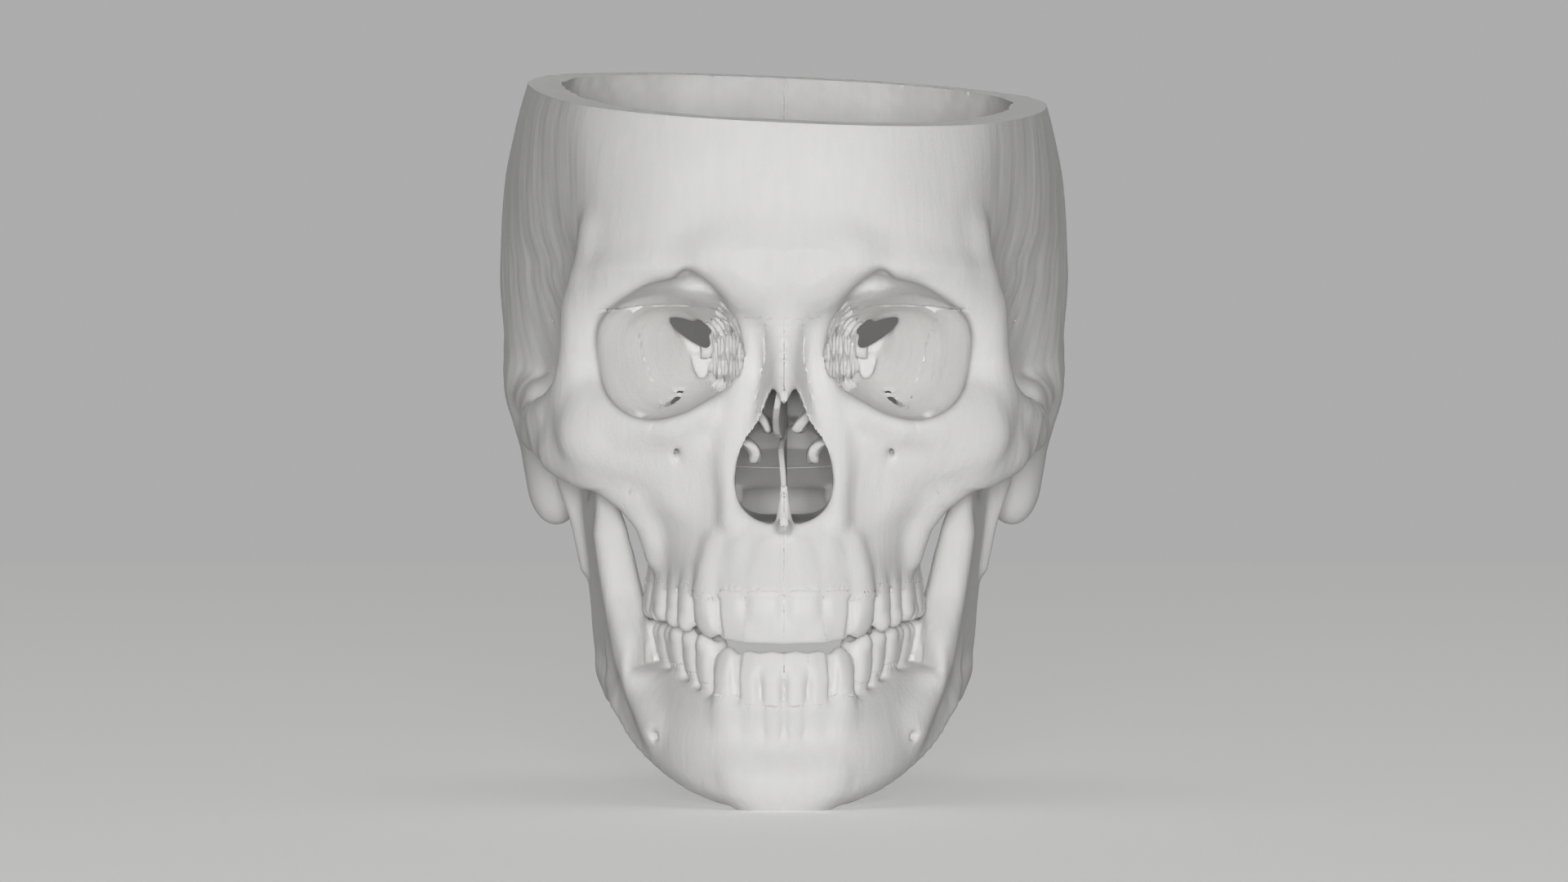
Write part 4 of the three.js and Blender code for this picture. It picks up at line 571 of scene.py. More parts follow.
def cheeks(c):
    """Brow, rim of the eye socket, cheekbone and arch"""
    # brow and rim of the eye socket
    c.add(rod([(12, -89, 34.5), (21, -89.5, 38), (31, -86.2, 37), (40, -80.8, 33.6), (47, -75, 28),
               (50.5, -71.2, 21)],
              [3.6, 3, 2.8, 2.9, 3.2, 3.2]), 8)
    c.add(rod([(6, -92.6, 36), (15, -92.8, 40)], [4, 2.6]), 11)
    c.add(ball((0, -90.5, 37), (14, 5.6, 9)), 9)
    c.add(rod([(50.6, -71, 24), (51.3, -69.4, 14), (51.8, -68.5, 6)], [3.2, 3.4, 4]), 5)
    c.add(rod([(51.8, -68.6, 13), (54.4, -65.4, 6), (58.4, -59, 2), (62.6, -49, 0)],
              [2.6, 2.8, 2.8, 2.2]), 6)
    # temple line
    c.add(rod([(50.4, -70, 30), (48.6, -71, 38), (47, -72, 46)], [2.2, 1.6, 0.8]), 9)
    # cheekbone
    c.add(ball((43, -74.5, -4), (12, 6.5, 9.5)), 9)
    c.add(rod([(47, -74, 2), (38, -80.5, -1.5), (29, -84.5, -1.8), (20, -86.3, 1.5)], [4, 3.4, 3.2, 3]), 5)
    c.add(rod([(56, -61, -8.5), (50, -67, -12), (44, -70, -15), (38, -70.5, -20), (34, -69, -26),
               (31.6, -66, -34)],
              [4, 4.4, 4.2, 4, 3.4, 3]), 5)
    # arch
    c.add(rod([(49, -70.5, -2.5), (55.6, -63.5, -3.4), (61, -53, -3.4)], [3.4, 3, 2.4], (1, 1, 2.4)), 7)
    c.add(rod([(50, -68, -4), (56.5, -60, -5.5), (61.5, -50, -5), (64.6, -39, -3.5),
               (65.4, -28, -1.6), (65, -18, 0.8), (64.5, -9, 3.4), (64.5, 0, 5.4)],
              [3.8, 3, 2.6, 2.3, 2.3, 2.5, 2.9, 3.2], (1, 1, 1.75)), 2.5)
    c.add(rod([(64.5, -4, 5), (67, 8, 8), (68.5, 20, 12.5), (69, 32, 18)], [3.6, 3.6, 3, 2]), 8)
    c.add(rod([(62, -24, -3.5), (54, -23.5, -5.5), (45, -22, -4.5)], [5.2, 5.6, 5.2], (1, 1.1, 1)), 4)
    c.add(rod([(63, -14, 1), (60, -12, 4), (46, -8, 3)], [4, 6.5, 6]), 4)


def base(c):
    """Underside: ear region, rockers, muscle lines and basilar part"""
    # mastoid, styloid, ear tube and the lower face of the ear pyramid
    c.add(ball((60.4, 17, -2), (9.4, 12, 14)), 5)
    c.add(ball((60, 14.4, -14.6), (7.8, 9.4, 13)), 5)
    c.add(rod([(56, 0, -3), (44, -1, -4), (32, -5, -6)], [5.6, 5.4, 5]), 3)
    c.add(rod([(44, 6, -6), (30, 0, -7), (16, -10, -5)], [6, 6, 4.5]), 4)
    c.add(rod([(38.4, 3.5, -6), (37, -1, -16), (35.4, -6, -28), (33.6, -11.6, -41)], [2.8, 2.2, 1.8, 1]), 2)
    c.cut(rod([(51.5, 6, -24), (51, 16, -20), (49, 28, -19)], [2.4, 2.6, 2]), 3)
    c.cut(rod([(45.5, 8, -24), (45.5, 18, -19.5), (44, 28, -18.5)], [1.2, 1.3, 1]), 2)
    # rockers, neck muscle lines and knob
    c.add(rod([(14, 0.5, -20), (17.6, 8, -21), (21.5, 17, -19.5)], [3.6, 4.6, 3.8]), 3)
    c.add(rod([(0, 84, 9), (14, 82, 11), (28, 76.5, 10), (41, 66, 8), (52, 51, 7), (59, 35, 4)],
              [2.8, 2.4, 2.4, 2.2, 2, 1.6]), 6)
    c.add(ball((0, 82.5, 8.5), (6, 4, 6)), 5)
    c.add(rod([(0, 80, 3), (0, 68, -15), (0, 52, -24)], [1.6, 1.4, 1]), 5)
    c.add(rod([(4, 60, -23), (17, 58, -21), (30, 50, -20.5), (39, 40, -20)], [1.4, 1.4, 1.3, 1]), 5)
    c.cut(ball((20, 78, -17), (14, 8, 9)), 9)
    c.cut(ball((20, 47, -31), (12, 12, 7)), 8)
    # basilar part
    c.add(plate("x", [(-43, -2), (-43, 29), (-36, 30), (-31, 27), (-27, 19.5), (-19, 18.5),
                      (-16, 25), (-12.5, 25.5), (-9, 18), (-1, -3), (3, -13), (0.5, -17), (-6, -15),
                      (-18, -5), (-30, -2)], 0, 23, 4), 2)
    c.cut(rod([(34, -1, -20), (33, -2, -6), (24, -8, 0)], [2.8, 2.8, 2.6]), 1)
    c.cut(rod([(31, 9, -22), (29, 9, -11), (24, 14, -4)], [3.2, 4, 3]), 1.5)
    c.cut(rod([(24, 12, -28), (17, 5.5, -11), (10, 2, -8)], 1.6), 0.8)


def hollows(c):
    """The open braincase with its three steps of floor"""
    c.cut(vault_inner(9), 0, 3)
    c.cut(form_of(FLOOR_HOLLOW), 9, 2)
    c.cut(form_of(MIDDLE_HOLLOW, mirror=False), 4, 2)
    c.cut(form_of(REAR_HOLLOW), 5, 2)
    c.add(rod([(44, -19, 1.5), (50, -12, 4.5), (57, -8, 6)], [4, 4.4, 4]), 5)
    # sieve plate sinks between the eye sockets
    c.add(ball((29, -62, 30), (17, 22, 9.6)), 6)
    c.cut(rod([(0, -78, 34), (0, -62, 32.6), (0, -50, 33.4)], [5, 5, 4.4]), 5)


def inside(c):
    """Ridges, grooves and holes of the inner floor"""
    c.add(rod([(63, 15, 7), (48, 7, 8.5), (34, -2, 6.5), (22, -10, 3.5), (14, -14.5, 1)],
              [9.5, 8.6, 8.2, 6.6, 5]), 3)
    c.add(rod([(58, 12, 15.6), (46, 5.5, 16.2), (34, -2.5, 13.6), (22, -10.5, 10), (14, -15, 7.5)],
              [2, 1.8, 1.6, 1.4, 1.2]), 4)
    c.add(rod([(6, -41, 29.6), (20, -44, 30.4), (32, -47, 32), (42, -47, 34.5)],
              [6, 6, 4.6, 3], (1, 1, 0.3)), 2)
    c.add(rod([(11, -41, 29.6), (12, -36, 29.4), (12, -31.5, 29)], [3, 2.4, 1.6], (1, 1, 0.8)), 2)
    c.add(ball((0, -38, 27.5), (9, 5, 3)), 3)
    c.add(rod([(0, -15, 24), (8.5, -15.5, 25.5)], [2, 1.7]), 2)
    c.cut(rod([(0, -24.5, 24), (6, -24.5, 24)], [4.6, 4.2]), 2)
    # crest and sinus grooves behind
    c.add(rod([(0, 76, 10), (0, 62, -7), (0, 42, -17)], [3, 2.6, 2]), 5)
    c.add(rod([(0, 78, 14), (0, 78, 34), (0, 76, 60)], [2.4, 2, 1]), 5)
    c.cut(rod([(0, 75, 12.5), (24, 70.5, 12), (44, 56.5, 12), (56, 40, 12.5), (58, 27, 9),
               (50, 20, 0), (40, 18, -7), (33, 11, -10)], [3, 3, 3, 3, 3.6, 4, 3.6, 3.4]), 3)
    c.add(rod([(0, -86, 40), (0, -87, 54), (0, -85, 66)], [2.6, 2.2, 1.4]), 4)
    # holes of the floor
    c.cut(rod([(24, -20, -6), (24.5, -20, 8)], [2.4, 2.8]), 1)
    c.cut(rod([(29, -14, -6), (29, -14, 8)], 1.3), 0.6)
    c.cut(rod([(17, -36, 16), (17, -44, 14.5)], 1.8), 0.8)
    c.cut(rod([(27, 1.5, 8), (36, 5, 8)], [2.2, 1.6]), 1)
    # grooves of the vessels
    for line in ([(30, -14, 2), (44, -18, 6), (52, -20, 14), (58, -22, 26), (61, -22, 40),
                  (62, -22, 58), (59, -22, 76)],
                 [(58, -22, 26), (62, -8, 38), (65, 6, 48), (66, 14, 64), (63, 18, 80)],
                 [(56, -19, 20), (63, 2, 26), (66.5, 22, 34), (65, 38, 46), (61, 46, 60)]):
        c.cut(rod(line, 1), 1.5)


def broken_rim(c):
    """Small breaks of the inner edge of the saw cut, at the temples"""
    for y, low, width in ((-14, 77, 0.9), (-11.5, 74, 1.4), (-8.6, 78, 1), (-5.5, 80, 1.2),
                          (-2.4, 76, 0.9), (0.5, 81, 0.8)):
        side = 55.4 - 0.035 * (y + 6) ** 2 * 0.3
        c.cut(rod([(side - 1.4, y, low), (side + 0.4, y + 0.8, 92)], [0.5, width]), 0.8)


def uneven(c, size=0.13):
    """A slight unevenness of the sides of the braincase, drawn out upright"""
    x, y, z = laid(c.axes)
    broad = np.sin(0.31 * y + 1.9 * np.sin(0.043 * z + 0.02 * y)) * np.sin(0.1 * z + 0.17 * y + 0.1 * x)
    fine = np.sin(0.8 * y + 1.3 * np.sin(0.07 * z) + 0.9 * np.sin(0.19 * y)) * np.sin(0.13 * z + 0.41 * y)
    side = np.clip((x - 40) / 16, 0, 1) * np.clip((z + 4) / 14, 0, 1)
    c.value += (size * (broad + 0.45 * fine) * side).astype(np.float32)


def great_hole(c):
    """The hole for the spinal cord"""
    c.cut(skin("z", [-34, -18, -8, 4], [
        mirror_ring([(0, 0.5), (8, 2.5), (13.5, 9.5), (15.5, 18.5), (14, 28), (8.5, 34.5), (0, 37)]),
        mirror_ring([(0, 1.5), (7.5, 3.5), (13, 10), (15, 18.5), (13.5, 28), (8, 34), (0, 36)]),
        mirror_ring([(0, -1), (8, 1), (14, 9), (16, 18.5), (14.5, 29), (9, 35.5), (0, 37.5)]),
        mirror_ring([(0, -6), (12, -2), (20, 8), (24, 20), (22, 34), (12, 42), (0, 44)])]), 2.5)


def seat(c):
    """The joint path of the jaw"""
    direction = np.array([0, -1, -0.7]) / np.hypot(1, 0.7)
    start, radius, half_width, glide = np.array([52, -13, -4.8]), 7.08, 10.9, 8
    end = start + direction * glide

    def field(x, y, z):
        dy, dz = end[1] - start[1], end[2] - start[2]
        t = np.clip(((y - start[1]) * dy + (z - start[2]) * dz) / (dy * dy + dz * dz), 0, 1)
        d = np.sqrt((y - start[1] - t * dy) ** 2 + (z - start[2] - t * dz) ** 2) - radius
        return smooth_max(d, np.abs(x - start[0]) - half_width, 1.2)
    c.cut((np.array([40, -28, -18]), np.array([64, -5, 4]), field), 0.8)
    c.cut(rod([(76, 1.6, -0.5), (58, 0.8, -1), (46, -1, 0)], [4.6, 3.8, 3.2], (1, 0.9, 1.1)), 1)
    # room for the coronoid and the neck under the arch
    c.cut(rod([(52, -13, -16), (53, -24, -22)], 6.5), 2)


def wall_reach(y):
    """How far the ethmoid's side wall stands from the middle"""
    return np.interp(y, (-86, -74, -64, -54, -46), (10.8, 12.4, 14.6, 16.9, 18.6))


def air_cells(low, high, z_low, z_high):
    """Upright air cells with thin walls between them, along the side wall of the ethmoid"""
    seeds = []
    rise = 5.4
    for i in range(9):
        for k in range(int((z_high - z_low) / rise) + 1):
            y = -83.4 + 4.5 * i + 1.3 * np.sin(2.3 * i + 4.1 * k)
            z = z_low + rise * k + 1.6 * np.sin(3.7 * i + 1.9 * k)
            seeds.append((wall_reach(y) - 0.8 + 1.2 * np.sin(5.1 * i + 2.7 * k), y, z))
            if k % 2 == i % 2:
                seeds.append((wall_reach(y) - 6, y + 1.2, z + 1))

    def cells(x, y, z):
        near = np.full((2,) + np.broadcast(x, y, z).shape, 99.0, np.float32)
        for sx, sy, sz in seeds:
            d = np.sqrt(((x - sx) * 0.8) ** 2 + ((y - sy) * 1.2) ** 2 + ((z - sz) * 0.8) ** 2)
            near[1] = np.minimum(near[1], np.maximum(near[0], d))
            near[0] = np.minimum(near[0], d)
        return smooth_max((near[0] - near[1]) / 2 + 0.42, near[0] - 4.4, 0.8)
    return np.array(low), np.array(high), cells


def cells_near_orbit():
    """The same cells where they show as shallow pits in the inner wall of the eye socket"""
    low, high, cells = air_cells([10, -84, 5], [24, -46, 34], 7.4, 34)
    socket = form_of(ORBIT, "y", mirror=False)[2]

    def pits(x, y, z):
        depth = x - wall_reach(y) - 2.4 - 0.5 * np.clip(z - 24, 0, 9)
        return np.maximum(cells(x, y, z), np.maximum(socket(x, y, z) - 2, depth))
    return low, high, pits


def face_cuts(c):
    """Eye sockets with their fissures, and the hollows and holes of the face"""
    c.cut(form_of(ORBIT, "y", mirror=False), 2.2)
    c.cut(rod([(17, -30, 27), (21.5, -46, 22.5)], [2.3, 2.5]), 1)
    # upper and lower fissures
    c.cut(plate("y", [(28.8, 25.6), (24, 25), (19.6, 21.8), (19, 18.4), (22, 18.8), (27.6, 22.8)],
                -47, 17, 1), 0.6)
    c.cut(plate("y", [(27.8, 23.4), (19.2, 19.2), (19.4, 11.4), (21.4, 10.4), (23, 13), (24, 17.6)],
                -50.5, 9.6, 0.6), 0.5)
    c.cut(plate("z", [(20, -46), (23, -52), (26, -56), (29, -56), (28, -50), (25, -45),
                      (21, -42)], 3.5, 7, 1), 0.8)
    c.cut(rod([(21.6, -48, 8.6), (24, -53, 5.4), (27, -58, 3.4), (30, -62, 2.4)],
              [1.7, 1.8, 1.4, 0.7], (1, 1, 1.3)), 1)
    c.cut(rod([(36, -70, 1), (38, -73, -0.4), (35, -74, 0)], 1.2), 0.6)
    # pocket under the inner end of the brow
    c.cut(ball((22, -85.5, 32), (5.8, 6.5, 3.8)), 1)
    c.cut(cells_near_orbit(), 0.5)
    # behind the upper jaw and in the temple
    c.cut(ball((46, -55, 14), (6, 10, 18)), 4)
    c.cut(ball((40, -46, -22), (9, 9, 16)), 4)
    # cheek hole with its groove, and the hollow over the canine root
    c.cut(rod([(26, -92, -12), (26, -86, -9.8), (27.5, -78, -6)], 0.8, (0.8, 1, 1.5)), 1.6)
    c.cut(ball((25.5, -94.5, -19), (8.5, 9.5, 11)), 6)
    c.cut(ball((8.5, -99.5, -31), (4, 5, 6)), 5)
    # notch over the eye
    c.cut(rod([(24, -96, 34.4), (24, -88, 34.8)], 1.4), 3)
    # tear groove
    c.cut(rod([(13.4, -85, 18), (13.2, -84, 9), (13.4, -80, 1), (13.2, -77, -8)], [1.5, 2, 2.4, 2.2]), 0.8)
    c.cut(plate("y", [(10.8, 12), (11, 18), (11.9, 19.8), (12.6, 17), (12.6, 12), (11.6, 10)],
                -86, 9, 0.6), 0.5)


def nose(c):
    """Bridge of the nose and the frame of its opening"""
    c.add(form_of(BRIDGE), 3)
    c.add(rod([(8.6, -86, 24), (11, -85.6, 10), (13, -86.2, -4), (14, -87, -14), (13.4, -88.4, -24)],
              [3, 3, 3, 2.8, 2.6]), 4)


def nose_cuts(c):
    """The nasal passages, the opening in front, and the spine and ridge on their floor"""
    c.cut(form_of(CHAMBER, "y"), 1.2)
    c.cut(plate("y", np.concatenate([APERTURE, np.array(APERTURE[1:-1][::-1]) * [-1, 1]]),
                -99, 26, 1, 2), 1)
    c.add(rod([(0, -88, -27.4), (0, -94, -27), (0, -99, -25.4)], [2.2, 2, 1.2]), 2)
    c.add(rod([(0, -93, -25), (0, -94, -21), (0, -93.4, -17)], [2, 1.5, 1]), 1.4)
    c.add(rod([(0, -93, -24.5), (0, -80, -25), (0, -60, -25.4)], 1, (1, 1, 1.6)), 1)


def wings(c):
    """The two plates that hang down behind the upper jaw"""
    c.add(plate("x", [(-44, 4), (-44, -26), (-40, -32), (-35, -33.5), (-33.5, -29), (-35, -18),
                      (-33, -4), (-30, 5)],
                12.6, 2, 1), 1.5)
    c.add(plate("x", [(-44, 4), (-44, -27), (-38, -31), (-31, -28), (-27.5, -20), (-26, -6), (-27, 4)],
                lambda y, z: 14.5 + np.clip(y + 43, 0, 30) * 0.55, 2, 1), 1.5)
    c.add(rod([(14, -42, 4), (15, -42.5, -14), (15.5, -42, -27)], [3.4, 3, 2.2]), 2)
    c.add(rod([(12.8, -34, -31.5), (13.4, -33, -34.5)], [1, 0.8]), 1)


def crown_rows(upper, gum, crown, root, width, depth, kind):
    """Levels down a tooth: its level, half width, half depth and shift outwards"""
    s = -1 if upper else 1
    w, d = (width / 2 + 0.3) * (1 if upper or kind else 0.94), depth / 2
    if kind == 0 and upper:
        shape = [(-1, .34, .36, -1.6), (-0.4, .8, .7, -1), (0, .98, .92, 0), (.35, 1.02, .9, .25),
                 (.7, 1.04, .6, .35), (.93, 1.02, .34, .2), (1, .92, .22, .1)]
    elif kind == 0:
        shape = [(-1, .34, .36, -1.6), (-0.4, .84, .7, -1.1), (0, .94, .88, -0.5), (.28, .95, .88, -0.1),
                 (.5, 1.02, .78, .35), (.7, 1.04, .6, .35), (.93, .84, .34, .2), (1, .44, .22, .1)]
    elif kind == 1:
        shape = [(-1, .3, .3, -2.2), (-0.5, .5, .55, -1.6), (0, .88, .9, -0.1), (.35, 1.0, .92, .3),
                 (.7, .98, .66, .3), (.9, .62, .42, .2), (1, .2, .2, .1)]
    elif kind == 2:
        shape = [(-1, .3, .3, -1.6), (-0.5, .55, .6, -1.3), (0, .88, .88, -0.1), (.4, 1.0, .98, 0),
                 (.8, 1.0, .92, 0), (1, .74, .7, 0)]
    else:
        shape = [(-1, .55, .4, -1.2), (-0.5, .7, .66, -0.9), (0, .9, .9, -0.1), (.4, 1.0, 1.0, 0),
                 (.8, 1.0, .96, 0), (1, .84, .82, 0)]
    rows = []
    for t, a, b, shift in shape:
        level = gum + s * (t * crown if t > 0 else t * root)
        rows.append((level, a * w, b * d, shift))
    return rows


KINDS = {"incisor": 0, "canine": 1, "premolar": 2, "molar": 3}
UPPER_TEETH = [("central_incisor", 8.2, 6.8, 12.4, 12.5), ("lateral_incisor", 6.6, 6.2, 11.8, 12),
               ("canine", 7.3, 7.8, 11.6, 14), ("first_premolar", 6.7, 8.6, 9.4, 11.5),
               ("second_premolar", 6.5, 8.6, 8.8, 11.5), ("first_molar", 9.8, 10.4, 8, 10.5),
               ("second_molar", 9.2, 10.2, 7.6, 10), ("third_molar", 8, 9.2, 6.8, 9)]
LOWER_TEETH = [("central_incisor", 4.9, 5.8, 12.6, 11), ("lateral_incisor", 5.3, 6, 12.4, 11.5),
               ("canine", 6.5, 7.2, 12.4, 12.5), ("first_premolar", 6.7, 7.6, 9.8, 11.5),
               ("second_premolar", 6.9, 7.8, 8.6, 11.5), ("first_molar", 10.4, 9.8, 7.8, 10.5),
               ("second_molar", 10, 9.6, 7.4, 10), ("third_molar", 9.4, 9.2, 6.8, 9)]


def row_of(jaw, teeth, boxes):
    """Where each tooth of the left half stands, from its box in the model"""
    centres = []
    for name, *_ in teeth:
        low, high = boxes[f"{jaw}_left_{name}"]
        centres.append((np.array(low) + np.array(high)) / 2)
    out = []
    for i, (name, width, depth, crown, root) in enumerate(teeth):
        before = centres[i - 1][:2] if i else centres[0][:2] * [-1, 1]
        after = centres[min(i + 1, len(teeth) - 1)][:2]
        along = after - before
        along /= np.hypot(*along)
        low, high = boxes[f"{jaw}_left_{name}"]
        gum = low[2] + crown if jaw == "upper" else high[2] - crown
        out.append((name, centres[i][:2], along, gum, width, depth, crown, root,
                    KINDS[name.split("_")[-1]]))
    return out


def groove(middle, reach, radius):
    """A groove over a crown, as far to one side of its middle as to the other"""
    return rod([middle - reach, middle + reach], radius)


def teeth_forms(jaw, row):
    """For each tooth its name, the forms to add, the forms to cut, and where it stands with its sizes"""
    s = -1 if jaw == "upper" else 1
    result = []
    for name, centre, along, gum, width, depth, crown, root, kind in row:
        along3 = np.array([*along, 0])
        out3 = np.array([along[1], -along[0], 0])
        at = np.array([*centre, gum])
        up = np.array([0, 0, s])
        rows = crown_rows(jaw == "upper", gum, crown, root, width, depth, kind)
        body = tooth(centre, along, rows, (3, 2.4, 2.6, 3)[kind])
        adds, cuts = [(body, 0)], []
        edge = at + up * crown
        if kind < 2 and name != "central_incisor":
            side = along3 * (width / 2 + 0.3) * (1 if kind == 0 else -1) + out3 * depth * 0.3
            cuts.append((rod([edge + side + up * 0.5, at + side - up * 1.5], [1.3, 0.6]), 0.8))
        if kind == 2:
            for v, drop in ((0.27, 0.3), (-0.25, 1)):
                p = edge + out3 * depth * v - up * drop
                adds.append((ball(p - up * 1, (2.2, 2.2, 2.6)), 1.2))
            cuts.append((groove(edge, along3 * width * 0.32, 0.9), 1.2))
        if kind == 3:
            for u in (-0.24, 0.24):
                for v in (-0.26, 0.27):
                    p = edge + along3 * width * u + out3 * depth * v - up * 1.7
                    adds.append((ball(p, (2.5, 2.5, 2.5)), 1.2))
            cuts.append((groove(edge + up * 0.2, along3 * width * 0.3, 1.1), 1.4))
            cuts.append((groove(edge + up * 0.4, out3 * depth * 0.5, 0.9), 1.4))
        result.append((name, adds, cuts, (at, along3, out3, up, width, depth, crown, root, kind)))
    return result


def root_ridges(c, forms):
    """A swelling of the bone over each canine root, and a dip between each two teeth at the gum"""
    for *_, (at, along3, out3, up, width, depth, _, root, kind) in forms:
        if kind == 1:
            top = at + out3 * (depth * 0.5 - 2.4) + up * 0.5
            foot = at + out3 * (depth * 0.5 - 4.6) - up * root * 0.8
            c.add(rod([top, top * 0.5 + foot * 0.5 + out3 * 0.3, foot], [1.9, 1.7, 0.8]), 5)
        dip = at + along3 * (width / 2 + 0.2) + out3 * (depth * 0.5 + 1.1)
        c.cut(rod([dip + up * 1.5, dip - up * 1.5], [0.3, 0.1]), 2)


def cranium(step, boxes, low=(0, -104, -58), high=(79, 90, 96)):
    """The left half of the skull bones as one body, and the forms of the upper teeth"""
    c = Clay(block_axes(low, high, step), step)
    for work in (braincase, cheeks, base, hollows, inside, broken_rim, great_hole, nose,
                 face_cuts, wings, seat):
        work(c)
    # the roof of the mouth, cut from below
    c.cut(form_of(PALATE), 4, 2)
    nose_cuts(c)
    # lower edge of the upper jaw
    trim = (np.array([-2, -110, -60]), np.array([60, -30, -43]), lambda x, y, z: z + 43.2 - 0.02 * (y + 95))
    c.cut(trim, 1.6)
    uneven(c)
    row = row_of("upper", UPPER_TEETH, boxes)
    forms = teeth_forms("upper", row)
    root_ridges(c, forms)
    sieve_notch(c)
    return c, forms


def socket_of(piece, own, info):
    """How far each point is from a tooth that is drawn in where it stands in the bone"""
    at, up = info[0], info[3]
    deep = np.clip((at[2] - piece.axes[2]) * up[2], 0, 5)
    return own + 0.5 * deep[None, None, :]


def sculpt_tooth(piece, adds, cuts):
    """The distance of one tooth on the points of a block"""
    own = piece.bare()
    for form, blend in adds:
        own.add(form, blend)
    for form, blend in cuts:
        own.cut(form, blend)
    return own.value


def tooth_reach(adds):
    """The corners of the block that a tooth is drawn in"""
    low = np.min([form[0] for form, _ in adds], 0) - MARGIN
    return low, np.max([form[1] for form, _ in adds], 0) + MARGIN


def opposite_tooth(piece, adds):
    """The distance of the same tooth of the other side, which stands next to the first one"""
    x, y, z = laid(piece.axes)
    whole_body, _ = adds[0]
    return whole_body[2](-x, y, z)


def add_teeth(c, forms):
    """Joins the teeth to the bone, and returns how far each point is from the nearest tooth"""
    nearest = np.full(c.value.shape, FAR, np.float32)
    for i, (_, adds, cuts, info) in enumerate(forms):
        place, piece = c.part(*tooth_reach(adds))
        own = sculpt_tooth(piece, adds, cuts)
        c.value[place] = smooth_min(c.value[place], own, TOOTH_BLEND)
        nearest[place] = np.minimum(nearest[place], socket_of(piece, own, info))
        if i == 0:
            c.value[place] = smooth_min(c.value[place], opposite_tooth(piece, adds), TOOTH_BLEND)
    return nearest


def tooth_piece(c, bone, forms, i, gap, finer=2):
    """One tooth on finer points: what lies nearest to it of the bone and teeth as one body"""
    _, adds, cuts, info = forms[i]
    _, piece = c.part(*tooth_reach(adds), finer, bone)
    own = sculpt_tooth(piece, adds, cuts)
    total = smooth_min(piece.value, own, TOOTH_BLEND)
    limit = socket_of(piece, own, info) - 0.5
    for j in (i - 1, i + 1):
        if 0 <= j < len(forms):
            other = sculpt_tooth(piece, forms[j][1], forms[j][2])
            total = smooth_min(total, other, TOOTH_BLEND)
            limit = np.maximum(limit, (own - other) / 2 + gap / 2)
    if i == 0:
        total = smooth_min(total, opposite_tooth(piece, adds), TOOTH_BLEND)
        limit = np.maximum(limit, gap / 2 - piece.axes[0][:, None, None])
    return piece, total, limit


